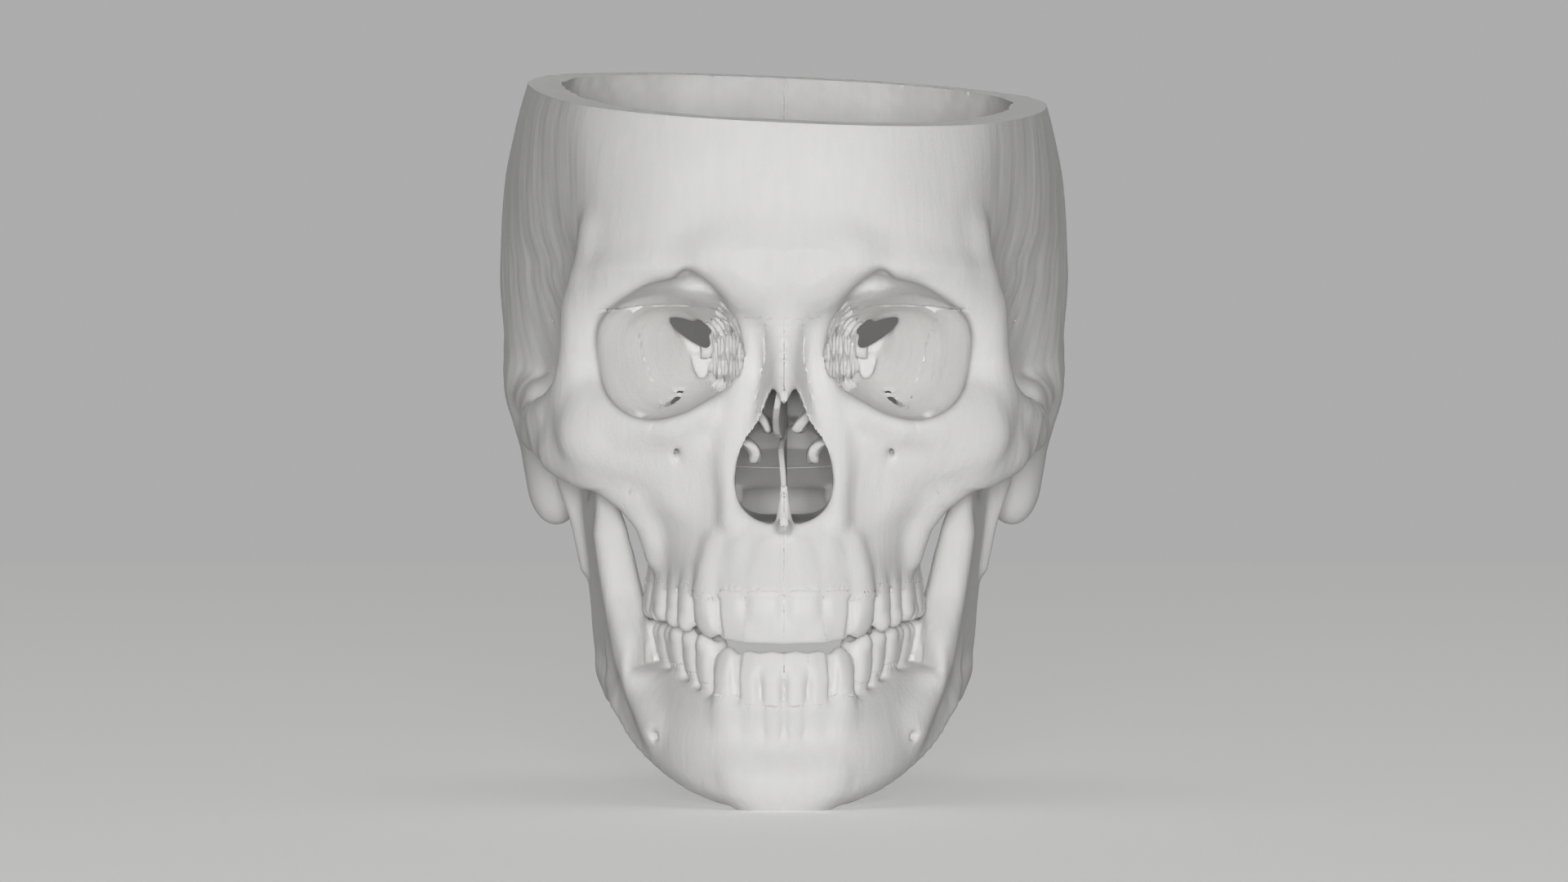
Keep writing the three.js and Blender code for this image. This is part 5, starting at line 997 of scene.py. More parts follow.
def jaw(step, boxes, low=(0, -98, -99), high=(64, -4, 2)):
    """The left half of the lower jaw as one body, and the forms of the lower teeth"""
    c = Clay(block_axes(low, high, step), step)
    # for each level the outer line and the inner line, from the middle to the rear
    body = {
        -97: ([(0, -86.5), (5, -86.3), (9.5, -84.8), (12, -82)], [(10, -80), (5, -79.3), (0, -79)]),
        -93: ([(0, -90), (9, -89), (16, -85.5), (21, -79), (23, -74)],
              [(20.5, -74), (17, -77.5), (9, -80.5), (0, -81)]),
        -88: ([(0, -92), (11, -90.5), (19, -86), (26, -78), (30, -69), (31, -64)],
              [(27, -64), (22, -73), (12, -80.5), (0, -82)]),
        -83: ([(0, -91.6), (12, -90), (21, -84.5), (28.5, -75.5), (34, -64), (37, -54)],
              [(32, -54), (26, -68), (14, -79.5), (0, -82.5)]),
        -77: ([(0, -90.8), (12, -89), (21, -83.4), (29, -74), (35.5, -62), (41.5, -44)],
              [(35.5, -44), (27, -65), (14.5, -79), (0, -83)]),
        -71: ([(0, -93.2), (7, -92.8), (13, -90), (20.4, -83.4), (28, -73), (35.6, -60), (44, -36)],
              [(38, -36), (25, -63), (14, -78.5), (0, -83.5)]),
        -65: ([(0, -94), (7, -93.6), (13, -91), (19.4, -84.6), (26.6, -73), (33, -58), (41, -36),
               (44, -30)], [(39, -30), (22.5, -60), (13, -78), (0, -84.5)]),
        -55: ([(0, -94), (7, -93.6), (13, -91), (19, -85), (26, -73), (32, -57), (39, -36), (43, -30)],
              [(38, -30), (21, -60), (12.5, -78), (0, -85)]),
    }
    rings = []
    for outer, inner in body.values():
        rings.append(mirror_ring(np.concatenate([even(outer, 11), even(inner, 9)])))
    c.add(skin("z", list(body), rings), 0, 2)

    ramus = [(-13.5, -70), (-11.5, -58), (-13, -44), (-12.2, -28), (-9.5, -16), (-9, -9),
             (-12, -6.5), (-16.5, -9), (-19, -15), (-24, -19), (-30, -19), (-36, -14), (-39.5, -7),
             (-42, -3.4), (-44.6, -4.6), (-45.6, -12), (-45, -24), (-45.8, -38), (-49, -48), (-56, -57),
             (-58, -66), (-50, -72), (-38, -72), (-26, -72), (-18, -73)]
    middle_z = [-80, -66, -54, -42, -34, -24, 0]
    middle_x = [[41], [44.4], [46.6], [48], [48.9], [50], [52]]

    def ramus_middle(y, z):
        lean = 0.22 - 0.04 * np.clip((z + 50) / 20, 0, 1)
        return between(middle_z, middle_x, z)[..., 0] - lean * np.clip(-13 - y, 0, 44)

    def ramus_thickness(y, z):
        return 6.2 + 1.6 * np.clip((-z - 50) / 20, 0, 1) - 1.8 * np.clip((z + 24) / 20, 0, 1)

    c.add(plate("x", ramus, ramus_middle, ramus_thickness, 3), 4)
    # jaw angle flares out
    c.add(rod([(43.8, -17, -64), (42, -26, -69), (39, -38, -72)], [4, 4, 3.6]), 4)
    # neck and head
    c.add(rod([(52.6, -13, -9.5), (52, -13.4, -16), (50, -14.4, -26), (48.6, -15.4, -38)],
              [3.9, 3.6, 2.8, 2], (1.9, 1, 1)), 3)
    c.add(rod([(45.4, -12.6, -5.3), (52, -13, -4.8), (59, -13.3, -4.8)], [3.6, 4.3, 3.6]), 2)
    # crest inside the front border, down to the rear of the teeth
    c.add(rod([(41, -41, -36), (39, -41.2, -44), (37.2, -42.4, -52), (34.6, -44.5, -62)],
              [1.2, 2.4, 3.8, 5]), 6)
    # ridges outside and inside
    c.add(rod([(44, -43, -30), (42, -46.5, -46), (39, -52.5, -60), (35.4, -60.5, -70), (32.4, -66.5, -77)],
              [1.8, 2, 2.4, 2.4, 1.6]), 8)
    c.add(rod([(40, -42, -55), (33, -54, -64), (24, -68, -72), (14, -78, -80)], [1.6, 1.8, 1.6, 1.2]), 6)
    # chin
    c.add(ball((0, -87.2, -90), (12, 4.6, 7)), 9)
    c.cut(ball((0, -99.6, -77), (17, 8, 6)), 9)
    c.cut(ball((0, -97.6, -72), (14, 5, 3.2)), 3)
    c.add(ball((2, -80, -86), (2.4, 2, 4)), 2)
    c.cut(ball((9, -80, -97), (6, 4, 2.6)), 2)
    # holes of the nerve
    c.cut(rod([(35, -72, -78.4), (30.4, -69.4, -79.6), (27, -68, -81)], [1.3, 1, 1]), 0.8)
    c.cut(rod([(35, -28, -36), (40, -31, -42), (41.4, -35, -50)], [2.4, 1.7, 1]), 1)
    # hollows of the ramus
    c.cut(ball((37.5, -27, -60), (4.5, 12, 10)), 5)

    # upper edge of the body of the jaw, which falls to the rear
    def above_edge(x, y, z):
        side = x - 38 + 5 * np.clip((y + 58) / 10, 0, 1)
        fall = 7.2 * np.clip((y + 90) / 26, 0, 1) + 3.4 * np.clip((y + 64) / 24, 0, 1)
        return np.maximum(side, fall - z - 70.8)
    c.cut((np.array([-2, -110, -74]), np.array([40, -36, -40]), above_edge), 3)
    forms = teeth_forms("lower", row_of("lower", LOWER_TEETH, boxes))
    root_ridges(c, forms)
    return c, forms


def sieve_notch(c):
    """The place of the sieve plate between the eye sockets"""
    c.cut(plate("z", [(-2, -80), (5, -80), (6.2, -77), (6.2, -49), (5, -46), (-2, -46)], 31,
                16, 0.6, 1), 0.6)


def ethmoid(whole, low=(0, -92, -8), high=(22, -42, 47)):
    """Sieve plate, crest, middle wall and a comb of air cells on each side"""
    c = whole.part(low, high, 2)[1].bare()
    block = [(-81.5, 7), (-81.5, 18), (-77, 25.4), (-66, 26.6), (-52, 25.6), (-46.4, 20),
             (-46.4, 12), (-50, 6.6), (-62, 4.6), (-72, 4.4), (-78, 4.4)]
    c.add(plate("x", block, lambda y, z: (wall_reach(y) + 4) / 2, lambda y, z: wall_reach(y) - 4, 1), 0)
    c.cut(air_cells([3.9, -84, 3], [22, -44, 27], 7.4, 24), 0.4)
    # sieve plate with its holes, crest, middle wall
    c.add(plate("z", [(-1, -79.4), (4.6, -79.4), (5.7, -77), (5.7, -49), (4.6, -46.6), (-1, -46.6)],
                27, 2.2, 0.6, 1), 1)
    for i in range(6):
        for x in (2, 4):
            y = -75.5 + 5 * i + (x - 3) * 0.8
            c.cut(rod([(x, y, 25), (x, y, 29)], 0.62), 0.3)
    c.add(plate("x", [(-78, 26), (-76, 34), (-72.5, 41), (-68, 43), (-63, 38.6), (-56, 31), (-49, 26)], 0,
                lambda y, z: 1.8 + 1.6 * np.clip((z - 34) / 8, 0, 1), 0.8), 1)
    c.add(plate("x", [(-49, 27.5), (-79, 27.5), (-79.6, 21), (-86.5, 16.5), (-90.4, 7), (-90, 2.5),
                      (-82, -2), (-74, -5), (-62, -1.6), (-50, 1.6), (-46.4, 6), (-46, 20)], 0,
                1.7, 0.5, 2), 0.6)
    # the middle scroll hangs from the cells
    c.add(leaf("y", [(9.4, 6.4), (7.8, 3.4), (6, 0.8), (4.6, -1.2), (4, -2.6)], 2.2,
               [(-76, 8), (-78, 2), (-75, -4.6), (-66, -6.4), (-54, -5), (-47, 0), (-46, 6),
                (-60, 9)], "x", 0.35), 0.8)
    return c


def vomer(whole, low=(-4, -86, -27), high=(4, -28, 3)):
    """The rear lower part of the middle wall of the nose"""
    c = whole.part(low, high, 2)[1].bare()
    edge = [(-80.6, -24.4), (-70, -24.6), (-58, -24.6), (-45, -24.4), (-40, -20), (-34, -8),
            (-31, -2), (-31, 0.6), (-38, 1), (-45, 0.4), (-52, -0.6), (-62, -4), (-74, -7.6), (-79, -14)]
    c.add(plate("x", edge, 0, lambda y, z: 1.5 + 0.5 * np.clip((z + 6) / 6, 0, 1), 0.5), 0)
    c.add(rod([(-2.2, -34, -0.6), (0, -36, -1.4), (2.2, -34, -0.6)], 0.9), 1)
    return c


def lower_scroll(whole, low=(3, -85, -20), high=(17, -47, 0)):
    """The curled leaf low on the side wall of the nose"""
    c = whole.part(low, high, 2)[1].bare()
    side = [(-81.6, -7), (-79, -12), (-71, -16.4), (-62, -16.6), (-54, -13.4), (-50.4, -8),
            (-52, -4.6), (-60, -3.6), (-70, -3.4), (-78, -4.4)]
    c.add(leaf("y", [(14.2, -5.6), (12.2, -5), (10, -5.6), (8.2, -7), (7.2, -8.8), (7.2, -10.2)], 2.2,
               side, "x", 0.5), 0)
    return c


def joint_disc(whole, low=(40, -22, -6), high=(64, -5, 4)):
    """The gristle pad over the head of the lower jaw"""
    c = whole.part(low, high, 2)[1].bare()

    def field(x, y, z):
        dy, dz = y + 13, z + 4.8
        r = np.sqrt(dy * dy + dz * dz)
        angle = np.arctan2(dz, dy) / np.pi
        thin = 0.78 + 0.42 * np.clip(np.abs(angle - 0.5) / 0.3, 0, 1)
        sheet = np.abs(r - 5.78) - np.minimum(thin, 0.88)
        span = (np.abs(angle - 0.54) - 0.33) * 5.8 * np.pi
        ends = (((x - 52) / 9.4) ** 2 + ((angle - 0.54) / 0.5) ** 4) ** 0.5 * 9.4 - 9.4
        return smooth_max(smooth_max(sheet, span, 0.6), ends, 0.8)
    c.add((np.array(low) + 1.0, np.array(high) - 1.0, field), 0)
    return c


# Surfaces: closed meshes drawn from the fields


def read(grid, low, step, p):
    """Values of a grid between its points"""
    t = (p - low) / step
    i = np.clip(t.astype(int), 0, np.array(grid.shape) - 2)
    f = (t - i).astype(np.float32)
    out = 0
    for a in (0, 1):
        for b in (0, 1):
            for c in (0, 1):
                w = np.abs(1 - a - f[:, 0]) * np.abs(1 - b - f[:, 1]) * np.abs(1 - c - f[:, 2])
                out = out + w * grid[i[:, 0] + a, i[:, 1] + b, i[:, 2] + c]
    return out


def slope(grid, low, step, p):
    """How fast the values rise along each axis"""
    e = step * 0.5
    parts = []
    for k in range(3):
        d = np.zeros(3)
        d[k] = e
        parts.append((read(grid, low, step, p + d) - read(grid, low, step, p - d)) / (2 * e))
    return np.stack(parts, 1)


def shell(body, limit, low, step):
    """The surface of what lies in the body and within the limit, as points and four-sided faces.
    Points are pulled onto the body's own surface, and at a seam onto both."""
    body, limit = body.astype(np.float32), limit.astype(np.float32)
    body = np.pad(body, 1, constant_values=9.0)
    limit = np.pad(limit, 1, mode="edge")
    low = np.array(low, float) - step
    value = np.maximum(body, limit)
    inside = value < 0
    n = inside.shape
    count = np.zeros([k - 1 for k in n], np.int8)
    corners = [(a, b, c) for a in (0, 1) for b in (0, 1) for c in (0, 1)]
    for a, b, c in corners:
        count += inside[a:n[0] - 1 + a, b:n[1] - 1 + b, c:n[2] - 1 + c]
    cells = np.argwhere((count > 0) & (count < 8))
    if not len(cells):
        return np.zeros((0, 3)), np.zeros((0, 4), int)
    at = {k: value[cells[:, 0] + k[0], cells[:, 1] + k[1], cells[:, 2] + k[2]] for k in corners}
    total = np.zeros((len(cells), 3))
    hits = np.zeros(len(cells))
    for a in corners:
        for axis in range(3):
            if a[axis]:
                continue
            b = tuple(v + (k == axis) for k, v in enumerate(a))
            va, vb = at[a], at[b]
            cross = (va < 0) != (vb < 0)
            t = np.where(cross, va / np.where(cross, va - vb, 1), 0)
            point = np.tile(np.array(a, float), (len(cells), 1))
            point[:, axis] = t
            total += np.where(cross[:, None], point, 0)
            hits += cross
    points = low + (cells + total / hits[:, None]) * step
    number = np.full(count.shape, -1, np.int64)
    number[tuple(cells.T)] = np.arange(len(cells))
    faces = []
    for axis in range(3):
        a = [slice(None)] * 3
        b = [slice(None)] * 3
        a[axis], b[axis] = slice(0, -1), slice(1, None)
        first, second = inside[tuple(a)], inside[tuple(b)]
        places = np.argwhere(first != second)
        leaving = first[tuple(places.T)]
        u, v = [k for k in range(3) if k != axis]
        quad = []
        for du, dv in ((0, 0), (-1, 0), (-1, -1), (0, -1)):
            cell = places.copy()
            cell[:, u] += du
            cell[:, v] += dv
            quad.append(number[tuple(np.clip(cell, 0, np.array(count.shape) - 1).T)])
        quad = np.stack(quad, 1)
        turn = leaving if axis != 1 else ~leaving
        quad[~turn] = quad[~turn][:, ::-1]
        faces.append(quad[(quad >= 0).all(1)])
    faces = np.concatenate(faces)
    # pull the points onto the surface
    start = points.copy()
    m, r = read(body, low, step, points), read(limit, low, step, points)
    seam = (np.abs(m) < 0.75 * step) & (np.abs(r) < 0.75 * step)
    outer = ~seam & (m >= r)
    for _ in range(3):
        m, r = read(body, low, step, points), read(limit, low, step, points)
        gm, gr = slope(body, low, step, points), slope(limit, low, step, points)
        mm, rr, mr = (gm * gm).sum(1) + 1e-4, (gr * gr).sum(1) + 1e-4, (gm * gr).sum(1)
        single_m = gm * (m / mm)[:, None]
        single_r = gr * (r / rr)[:, None]
        det = mm * rr - mr * mr
        good = det > 0.05
        la = np.where(good, (rr * m - mr * r) / np.where(good, det, 1), 0)
        lb = np.where(good, (mm * r - mr * m) / np.where(good, det, 1), 0)
        both = gm * la[:, None] + gr * lb[:, None]
        move = np.where((seam & good)[:, None], both, np.where((outer | seam)[:, None], single_m, single_r))
        long = np.linalg.norm(move, axis=1, keepdims=True)
        move *= np.minimum(1, 0.5 * step / np.maximum(long, 1e-9))
        points = points - move
    far = np.abs(points - start).max(1) > 1.1 * step
    points[far] = start[far]
    return points, faces


def main_body(points, faces):
    """Keeps the largest connected part"""
    label = np.arange(len(points))
    edges = np.concatenate([faces[:, [0, 1]], faces[:, [1, 2]], faces[:, [2, 3]], faces[:, [3, 0]]])
    while True:
        low = np.minimum(label[edges[:, 0]], label[edges[:, 1]])
        new = label.copy()
        np.minimum.at(new, edges[:, 0], low)
        np.minimum.at(new, edges[:, 1], low)
        new = np.minimum(new, new[new])
        new = new[new]
        if (new == label).all():
            break
        label = new
    used = label[faces[:, 0]]
    keep = np.bincount(used).argmax()
    faces = faces[used == keep]
    number = np.full(len(points), -1)
    ids = np.unique(faces)
    number[ids] = np.arange(len(ids))
    return points[ids], number[faces]


# Sutures: the outlines that part the bones, seen from the side, the front and the top
SUTURES = {
    "nasal_bone": {
        "front": [(-20, -10), (-20, 24.8), (0, 24.8), (5, 24), (4.5, 15), (7, 4), (7, -10)],
        "side": [(-130, -10), (-130, 40), (-86, 40), (-86, -10)],
    },
    "lacrimal_bone": {
        "front": [(8, 2), (18, 2), (18, 22), (8, 22)],
        "side": [(-86.5, 2.5), (-87, 21), (-80, 23), (-79.5, 2)],
    },
    "zygomatic_bone": {
        "front": [(31, 2), (33, -4), (37, -14), (40, -24), (44, -40), (90, -40), (90, 30), (38, 27)],
        "top": [(20, -120), (24, -60), (40, -57), (52, -52), (54, -40), (90, -46), (90, -120)],
    },
    "frontal_bone": {
        "side": [(-20, 130), (-28, 78), (-46, 33), (-50, 30), (-62, 29), (-76, 27), (-86, 24.5),
                 (-130, 24.5), (-130, 130)],
    },
    "parietal_bone": {
        "side": [(-42, 34), (-30, 46), (-10, 54), (15, 48), (32, 30), (42, 10), (55, 28), (79, 69),
                 (140, 72), (140, 150), (-60, 150), (-60, 36)],
    },
    "temporal_bone": {
        "side": [(-60, 9), (-42, 9), (-43, 28), (-30, 46), (-10, 54), (15, 48), (32, 30), (42, 10),
                 (38, 0), (30, -10), (26, -50), (-20, -50), (-60, -20)],
        "top": [(11, -13), (30, -10), (38, -17), (45, -32), (46, -60), (100, -60), (100, 60), (60, 50),
                (42, 30), (28, 8)],
    },
    "occipital_bone": {
        "side": [(-14, -40), (-14, 4), (-6, 12), (10, 30), (42, 10), (55, 28), (79, 69), (140, 72),
                 (140, -80), (-14, -80)],
    },
    "palatine_bone": {
        "side": [(-52, -34), (-52, -22), (-47, -20), (-47, 2), (-39, 2), (-39, -34)],
        "front": [(-20, -40), (-20, 10), (17, 10), (17, -40)],
    },
    "maxilla": {
        "side": [(-130, -80), (-130, 40), (-70, 40), (-60, -0.5), (-50, -2), (-41.5, -6),
                 (-39, -20), (-30, -80)],
    },
}
# A piece with more than this is thinned
MOST_TRIANGLES = 190000
VIEWS = {"side": (1, 2), "front": (0, 2), "top": (0, 1)}
PAIRED = ("nasal_bone", "lacrimal_bone", "zygomatic_bone", "parietal_bone", "temporal_bone",
          "palatine_bone", "maxilla")


def suture(axes, outlines):
    """How far each point is inside the region of one bone"""
    value = None
    for view, outline in outlines.items():
        u, v = VIEWS[view]
        shape = [1, 1, 1]
        shape[u], shape[v] = len(axes[u]), len(axes[v])
        part = outline_distance(axes[u][:, None], axes[v][None, :], np.array(outline, float)).reshape(shape)
        value = part if value is None else np.maximum(value, part)
    return value


def box_of(node):
    """The lowest and the highest corner of a node of the model"""
    low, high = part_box(node)
    return np.array(low) * 1000 - EAR_LINE, np.array(high) * 1000 - EAR_LINE


def saw_cut(axes, side):
    """How far each point is above the saw cut. For the right half, seen mirrored, side is -1."""
    x, y, z = laid(axes)
    return z - (SAW_HEIGHT + SAW_RISE * y - SAW_FALL * side * x)


def whole_of(block):
    """A half block and its mirror image as one"""
    return np.concatenate([block[:0:-1], block])


def draw(node, body, points, faces, look):
    """A mesh from points in millimetres, in place of its node in the model"""
    # a name of one word gets a second one
    name = node.replace("_", "-") if "_" in node else node + "-bone"
    mesh = bpy.data.meshes.new(name)
    mesh.vertices.add(len(points))
    mesh.vertices.foreach_set("co", ((points + EAR_LINE) / 1000).astype(np.float32).ravel())
    mesh.loops.add(faces.size)
    mesh.loops.foreach_set("vertex_index", faces.astype(np.int32).ravel())
    mesh.polygons.add(len(faces))
    mesh.polygons.foreach_set("loop_start", np.arange(0, faces.size, 4, dtype=np.int32))
    mesh.update(calc_edges=True)
    mesh.validate()
    piece = bpy.data.objects.new(name, mesh)
    bpy.context.scene.collection.objects.link(piece)
    mesh.materials.append(look)
    mesh.polygons.foreach_set("use_smooth", np.ones(len(faces), bool))
    piece.select_set(True)
    bpy.context.view_layer.objects.active = piece
    if 2 * len(faces) > MOST_TRIANGLES:
        thin = piece.modifiers.new("thin", "DECIMATE")
        thin.ratio = MOST_TRIANGLES / (2 * len(faces))
        bpy.ops.object.modifier_apply(modifier=thin.name)
    bpy.ops.object.shade_smooth_by_angle(angle=math.radians(50))
    piece.select_set(False)
    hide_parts(node)
    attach(piece, body)
    return piece


def draw_pair(key, body, points, faces, look, other=None):
    """The left piece and the right one, which is its mirror image unless it is given"""
    left, right = key
    draw(left, body, points, faces, look)
    points, faces = other if other else (points, faces)
    draw(right, body, points * [-1, 1, 1], faces[:, ::-1], look)


def draw_cranium(c, nearest, look):
    """Parts the skull along its sutures, and draws what is left at the end as the sphenoid bone"""
    keys = list(SUTURES) + ["sphenoid_bone"]
    for number, key in enumerate(keys):
        node = f"{key}_left" if key in PAIRED else key
        low, high = box_of(node)
        low[0] = 0
        place, piece = c.part(low - MARGIN, high + MARGIN)
        x, y, z = piece.axes
        limit = np.full(piece.value.shape, -FAR, np.float32)
        for earlier in keys[:number]:
            limit = np.maximum(limit, GAP - suture(piece.axes, SUTURES[earlier]))
        if key in SUTURES:
            limit = np.maximum(limit, suture(piece.axes, SUTURES[key]))
        if key in ("maxilla", "palatine_bone"):
            limit = np.maximum(limit, SOCKET_ROOM - nearest[place])
        corner = [a[0] for a in piece.axes]
        if key in PAIRED:
            limit = np.maximum(limit, GAP / 2 - x[:, None, None])
            sides = []
            for side in (1, -1):
                cut = np.maximum(limit, saw_cut(piece.axes, side))
                sides.append(main_body(*shell(piece.value, cut, corner, piece.step)))
            draw_pair((f"{key}_left", f"{key}_right"), "cranium", *sides[0], look, sides[1])
        else:
            axes = [np.concatenate([-x[:0:-1], x]), y, z]
            corner[0] = axes[0][0]
            cut = np.maximum(whole_of(limit), saw_cut(axes, 1))
            draw(key, "cranium", *main_body(*shell(whole_of(piece.value), cut, corner, piece.step)), look)


def septum_lean(points):
    """The middle wall of the nose leans to the skull's right in front"""
    x, y, z = points.T
    return 2.2 * np.exp(-(x / 3) ** 2 - ((z + 1) / 9) ** 2) * np.clip((-y - 62) / 18, 0, 1)


def draw_inner(c, makers):
    """The pieces that are sculpted on their own and stand free of the skull's one body"""
    for key, (maker, mirrored, body, look) in makers.items():
        piece = maker(c)
        low = [a[0] for a in piece.axes]
        around = c.sample_at(piece.axes)
        limit = (GAP - around).astype(np.float32)
        if mirrored:
            points, faces = main_body(*shell(piece.value, limit, low, piece.step))
            draw_pair((f"{key}_left", f"{key}_right"), body, points, faces, look)
        else:
            start = int(np.searchsorted(piece.axes[0], 0))
            value, limit = piece.value[start:], limit[start:]
            low[0] = -piece.axes[0][-1]
            points, faces = main_body(*shell(whole_of(value), whole_of(limit), low, piece.step))
            points[:, 0] -= septum_lean(points)
            draw(key, body, points, faces, look)


def draw_teeth(c, bone, forms, jaw_name, body, look):
    """Each tooth of the left half and its mirror image"""
    for i, (name, *_) in enumerate(forms):
        piece, total, limit = tooth_piece(c, bone, forms, i, 0.4 * GAP)
        points, faces = main_body(*shell(total, limit, [a[0] for a in piece.axes], piece.step))
        draw_pair((f"{jaw_name}_left_{name}", f"{jaw_name}_right_{name}"), body, points, faces, look)


# Looks


class Value:
    """A number, colour or vector on its way through a material, written as plain arithmetic"""

    def __init__(self, tree, socket):
        self.tree, self.socket = tree, socket

    def maths(self, kind, other, swap=False):
        first, second = (other, self) if swap else (self, other)
        return node(self.tree, "ShaderNodeMath", {"operation": kind}, {0: first, 1: second})

    def __add__(self, other):
        return self.maths("ADD", other)

    def __sub__(self, other):
        return self.maths("SUBTRACT", other)

    def __mul__(self, other):
        return self.maths("MULTIPLY", other)

    def __truediv__(self, other):
        return self.maths("DIVIDE", other)

    def __radd__(self, other):
        return self.maths("ADD", other, True)

    def __rsub__(self, other):
        return self.maths("SUBTRACT", other, True)

    def __rmul__(self, other):
        return self.maths("MULTIPLY", other, True)


def node(tree, kind, settings=None, inputs=None, output=0):
    """A node with its settings and with values or links at its inputs"""
    made = tree.nodes.new(kind)
    for key, value in (settings or {}).items():
        setattr(made, key, value)
    for key, value in (inputs or {}).items():
        if isinstance(value, Value):
            tree.links.new(value.socket, made.inputs[key])
        else:
            made.inputs[key].default_value = value
    return Value(tree, made.outputs[output])


def mix(tree, amount, first, second):
    """One colour turning into another as the amount rises"""
    return node(tree, "ShaderNodeMix", {"data_type": "RGBA"}, {0: amount, 6: first, 7: second}, 2)


def noise(tree, place, scale, detail=4, output=0):
    """Soft random spots"""
    return node(tree, "ShaderNodeTexNoise", None,
                {"Vector": place, "Scale": scale, "Detail": detail}, output)


def grey(value):
    """The colour that the picture shows as this grey, a little warm"""
    linear = ((value / 255 + 0.055) / 1.055) ** 2.4
    return (linear, linear * 0.995, linear * 0.98, 1)


def bone_look(name, light, dark, roughness, depth):
    """A matt, faintly blotched surface with a fine upright grain"""
    look = bpy.data.materials.new(name)
    look.use_nodes = True
    tree = look.node_tree
    shader = tree.nodes["Principled BSDF"]
    place = node(tree, "ShaderNodeTexCoord", None, None, 3)
    tall = node(tree, "ShaderNodeVectorMath", {"operation": "MULTIPLY"}, {0: place, 1: (1, 1, 0.12)})
    blotch = noise(tree, place, 60)
    streak = noise(tree, tall, 520, 3)
    grain = noise(tree, place, 1500, 2)
    amount = blotch * 0.6 + streak * 0.4
    tree.links.new(mix(tree, amount, dark, light).socket, shader.inputs["Base Color"])
    shader.inputs["Roughness"].default_value = roughness
    shader.inputs["Specular IOR Level"].default_value = 0.25
    height = streak * 0.7 + grain * 0.3
    bump = node(tree, "ShaderNodeBump", None, {"Strength": depth, "Distance": 0.0006, "Height": height})
    tree.links.new(bump.socket, shader.inputs["Normal"])
    return look


def seen_directly(tree):
    """One where the camera or a reflection sees a surface, nought where it only lights the bone"""
    path = node(tree, "ShaderNodeLightPath", output="Is Camera Ray")
    return path.maths("MAXIMUM", Value(tree, path.socket.node.outputs["Is Glossy Ray"]))


def lamp(name, place, size, power):
    """A square light that points at the middle of the skull"""
    light = bpy.data.lights.new(name, "AREA")
    light.size, light.energy = size, power
    stand = bpy.data.objects.new(name, light)
    bpy.context.scene.collection.objects.link(stand)
    stand.location = place
    aim = np.array(place) - [0, 0, 0.1]
    stand.rotation_euler = (math.atan2(math.hypot(aim[0], aim[1]), aim[2]), 0, math.atan2(aim[0], -aim[1]))
    return stand


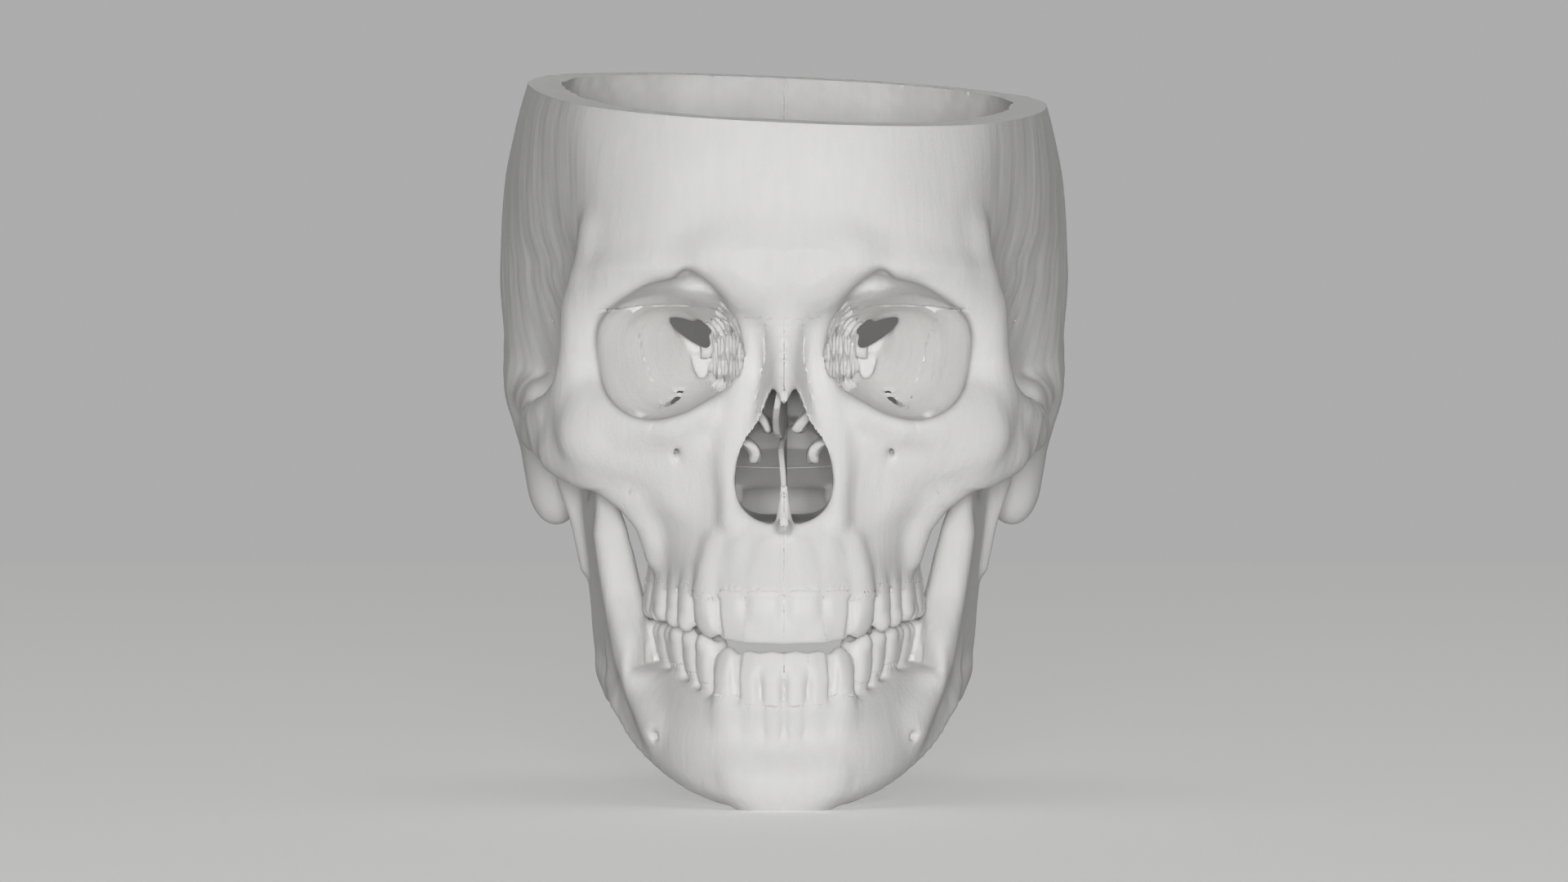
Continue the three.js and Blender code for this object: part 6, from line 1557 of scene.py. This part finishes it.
def stage():
    """Plain floor, pale surroundings, three lights and the camera"""
    bpy.ops.mesh.primitive_plane_add(size=6, location=(0, 0, 0))
    floor = bpy.context.object
    floor.name = "floor"
    paint = bpy.data.materials.new("floor paint")
    paint.use_nodes = True
    shader = paint.node_tree.nodes["Principled BSDF"]
    shader.inputs["Base Color"].default_value = (0.8, 0.8, 0.79, 1)
    shader.inputs["Roughness"].default_value = 0.9
    shader.inputs["Emission Strength"].default_value = 1
    glow = mix(paint.node_tree, seen_directly(paint.node_tree), (0, 0, 0, 1), (0.27, 0.27, 0.265, 1))
    paint.node_tree.links.new(glow.socket, shader.inputs["Emission Color"])
    floor.data.materials.append(paint)
    world = bpy.data.worlds.new("studio")
    bpy.context.scene.world = world
    world.use_nodes = True
    sky = world.node_tree.nodes["Background"]
    sky.inputs["Color"].default_value = (0.9, 0.9, 0.9, 1)
    seen = seen_directly(world.node_tree)
    world.node_tree.links.new((seen * 0.3 + 0.16).socket, sky.inputs["Strength"])
    lamp("front light", (0, -1.9, 0.14), 0.4, 25)
    back = lamp("back light", (0, 2.2, 0.5), 1.2, 20)
    lamp("top light", (0, 0.1, 2), 1.2, 2)
    # the back light shines on the skull alone
    spared = bpy.data.collections.new("not lit from behind")
    spared.objects.link(floor)
    back.light_linking.receiver_collection = spared
    spared.collection_objects[0].light_linking.link_state = "EXCLUDE"
    # the camera looks along the axis of the face, from where the photo was taken
    view = bpy.data.cameras.new("camera")
    view.lens, view.sensor_width = 140.6, 36
    camera = bpy.data.objects.new("camera", view)
    bpy.context.scene.collection.objects.link(camera)
    camera.location = (0, -1.590647, 0.09115)
    camera.rotation_euler = (math.radians(90), 0, 0)
    scene = bpy.context.scene
    scene.camera = camera
    scene.view_settings.view_transform = "Standard"


bone = bone_look("dry bone", grey(238), grey(222), 0.72, 0.35)
enamel = bone_look("enamel", grey(238), grey(226), 0.5, 0.12)
pad = bone_look("joint pad", grey(206), grey(190), 0.55, 0.2)

boxes = {name: box_of(name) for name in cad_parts}
skull, upper_teeth = cranium(STEP, boxes)
skull_bone = skull.value.copy()
nearest_upper = add_teeth(skull, upper_teeth)
draw_cranium(skull, nearest_upper, bone)
draw_teeth(skull, skull_bone, upper_teeth, "upper", "cranium", enamel)
lower_jaw, lower_teeth = jaw(STEP, boxes)
jaw_bone = lower_jaw.value.copy()
nearest_lower = add_teeth(lower_jaw, lower_teeth)
corner = [-lower_jaw.axes[0][-1], lower_jaw.axes[1][0], lower_jaw.axes[2][0]]
draw("mandible", "lower_jaw", *main_body(*shell(
    whole_of(lower_jaw.value), whole_of(SOCKET_ROOM - nearest_lower), corner, STEP)), bone)
draw_teeth(lower_jaw, jaw_bone, lower_teeth, "lower", "lower_jaw", enamel)
draw_inner(skull, {
    "ethmoid_bone": (ethmoid, False, "cranium", bone),
    "vomer": (vomer, False, "cranium", bone),
    "inferior_nasal_concha": (lower_scroll, True, "cranium", bone),
    "articular_disc": (joint_disc, True, "articular_discs", pad),
})
stage()
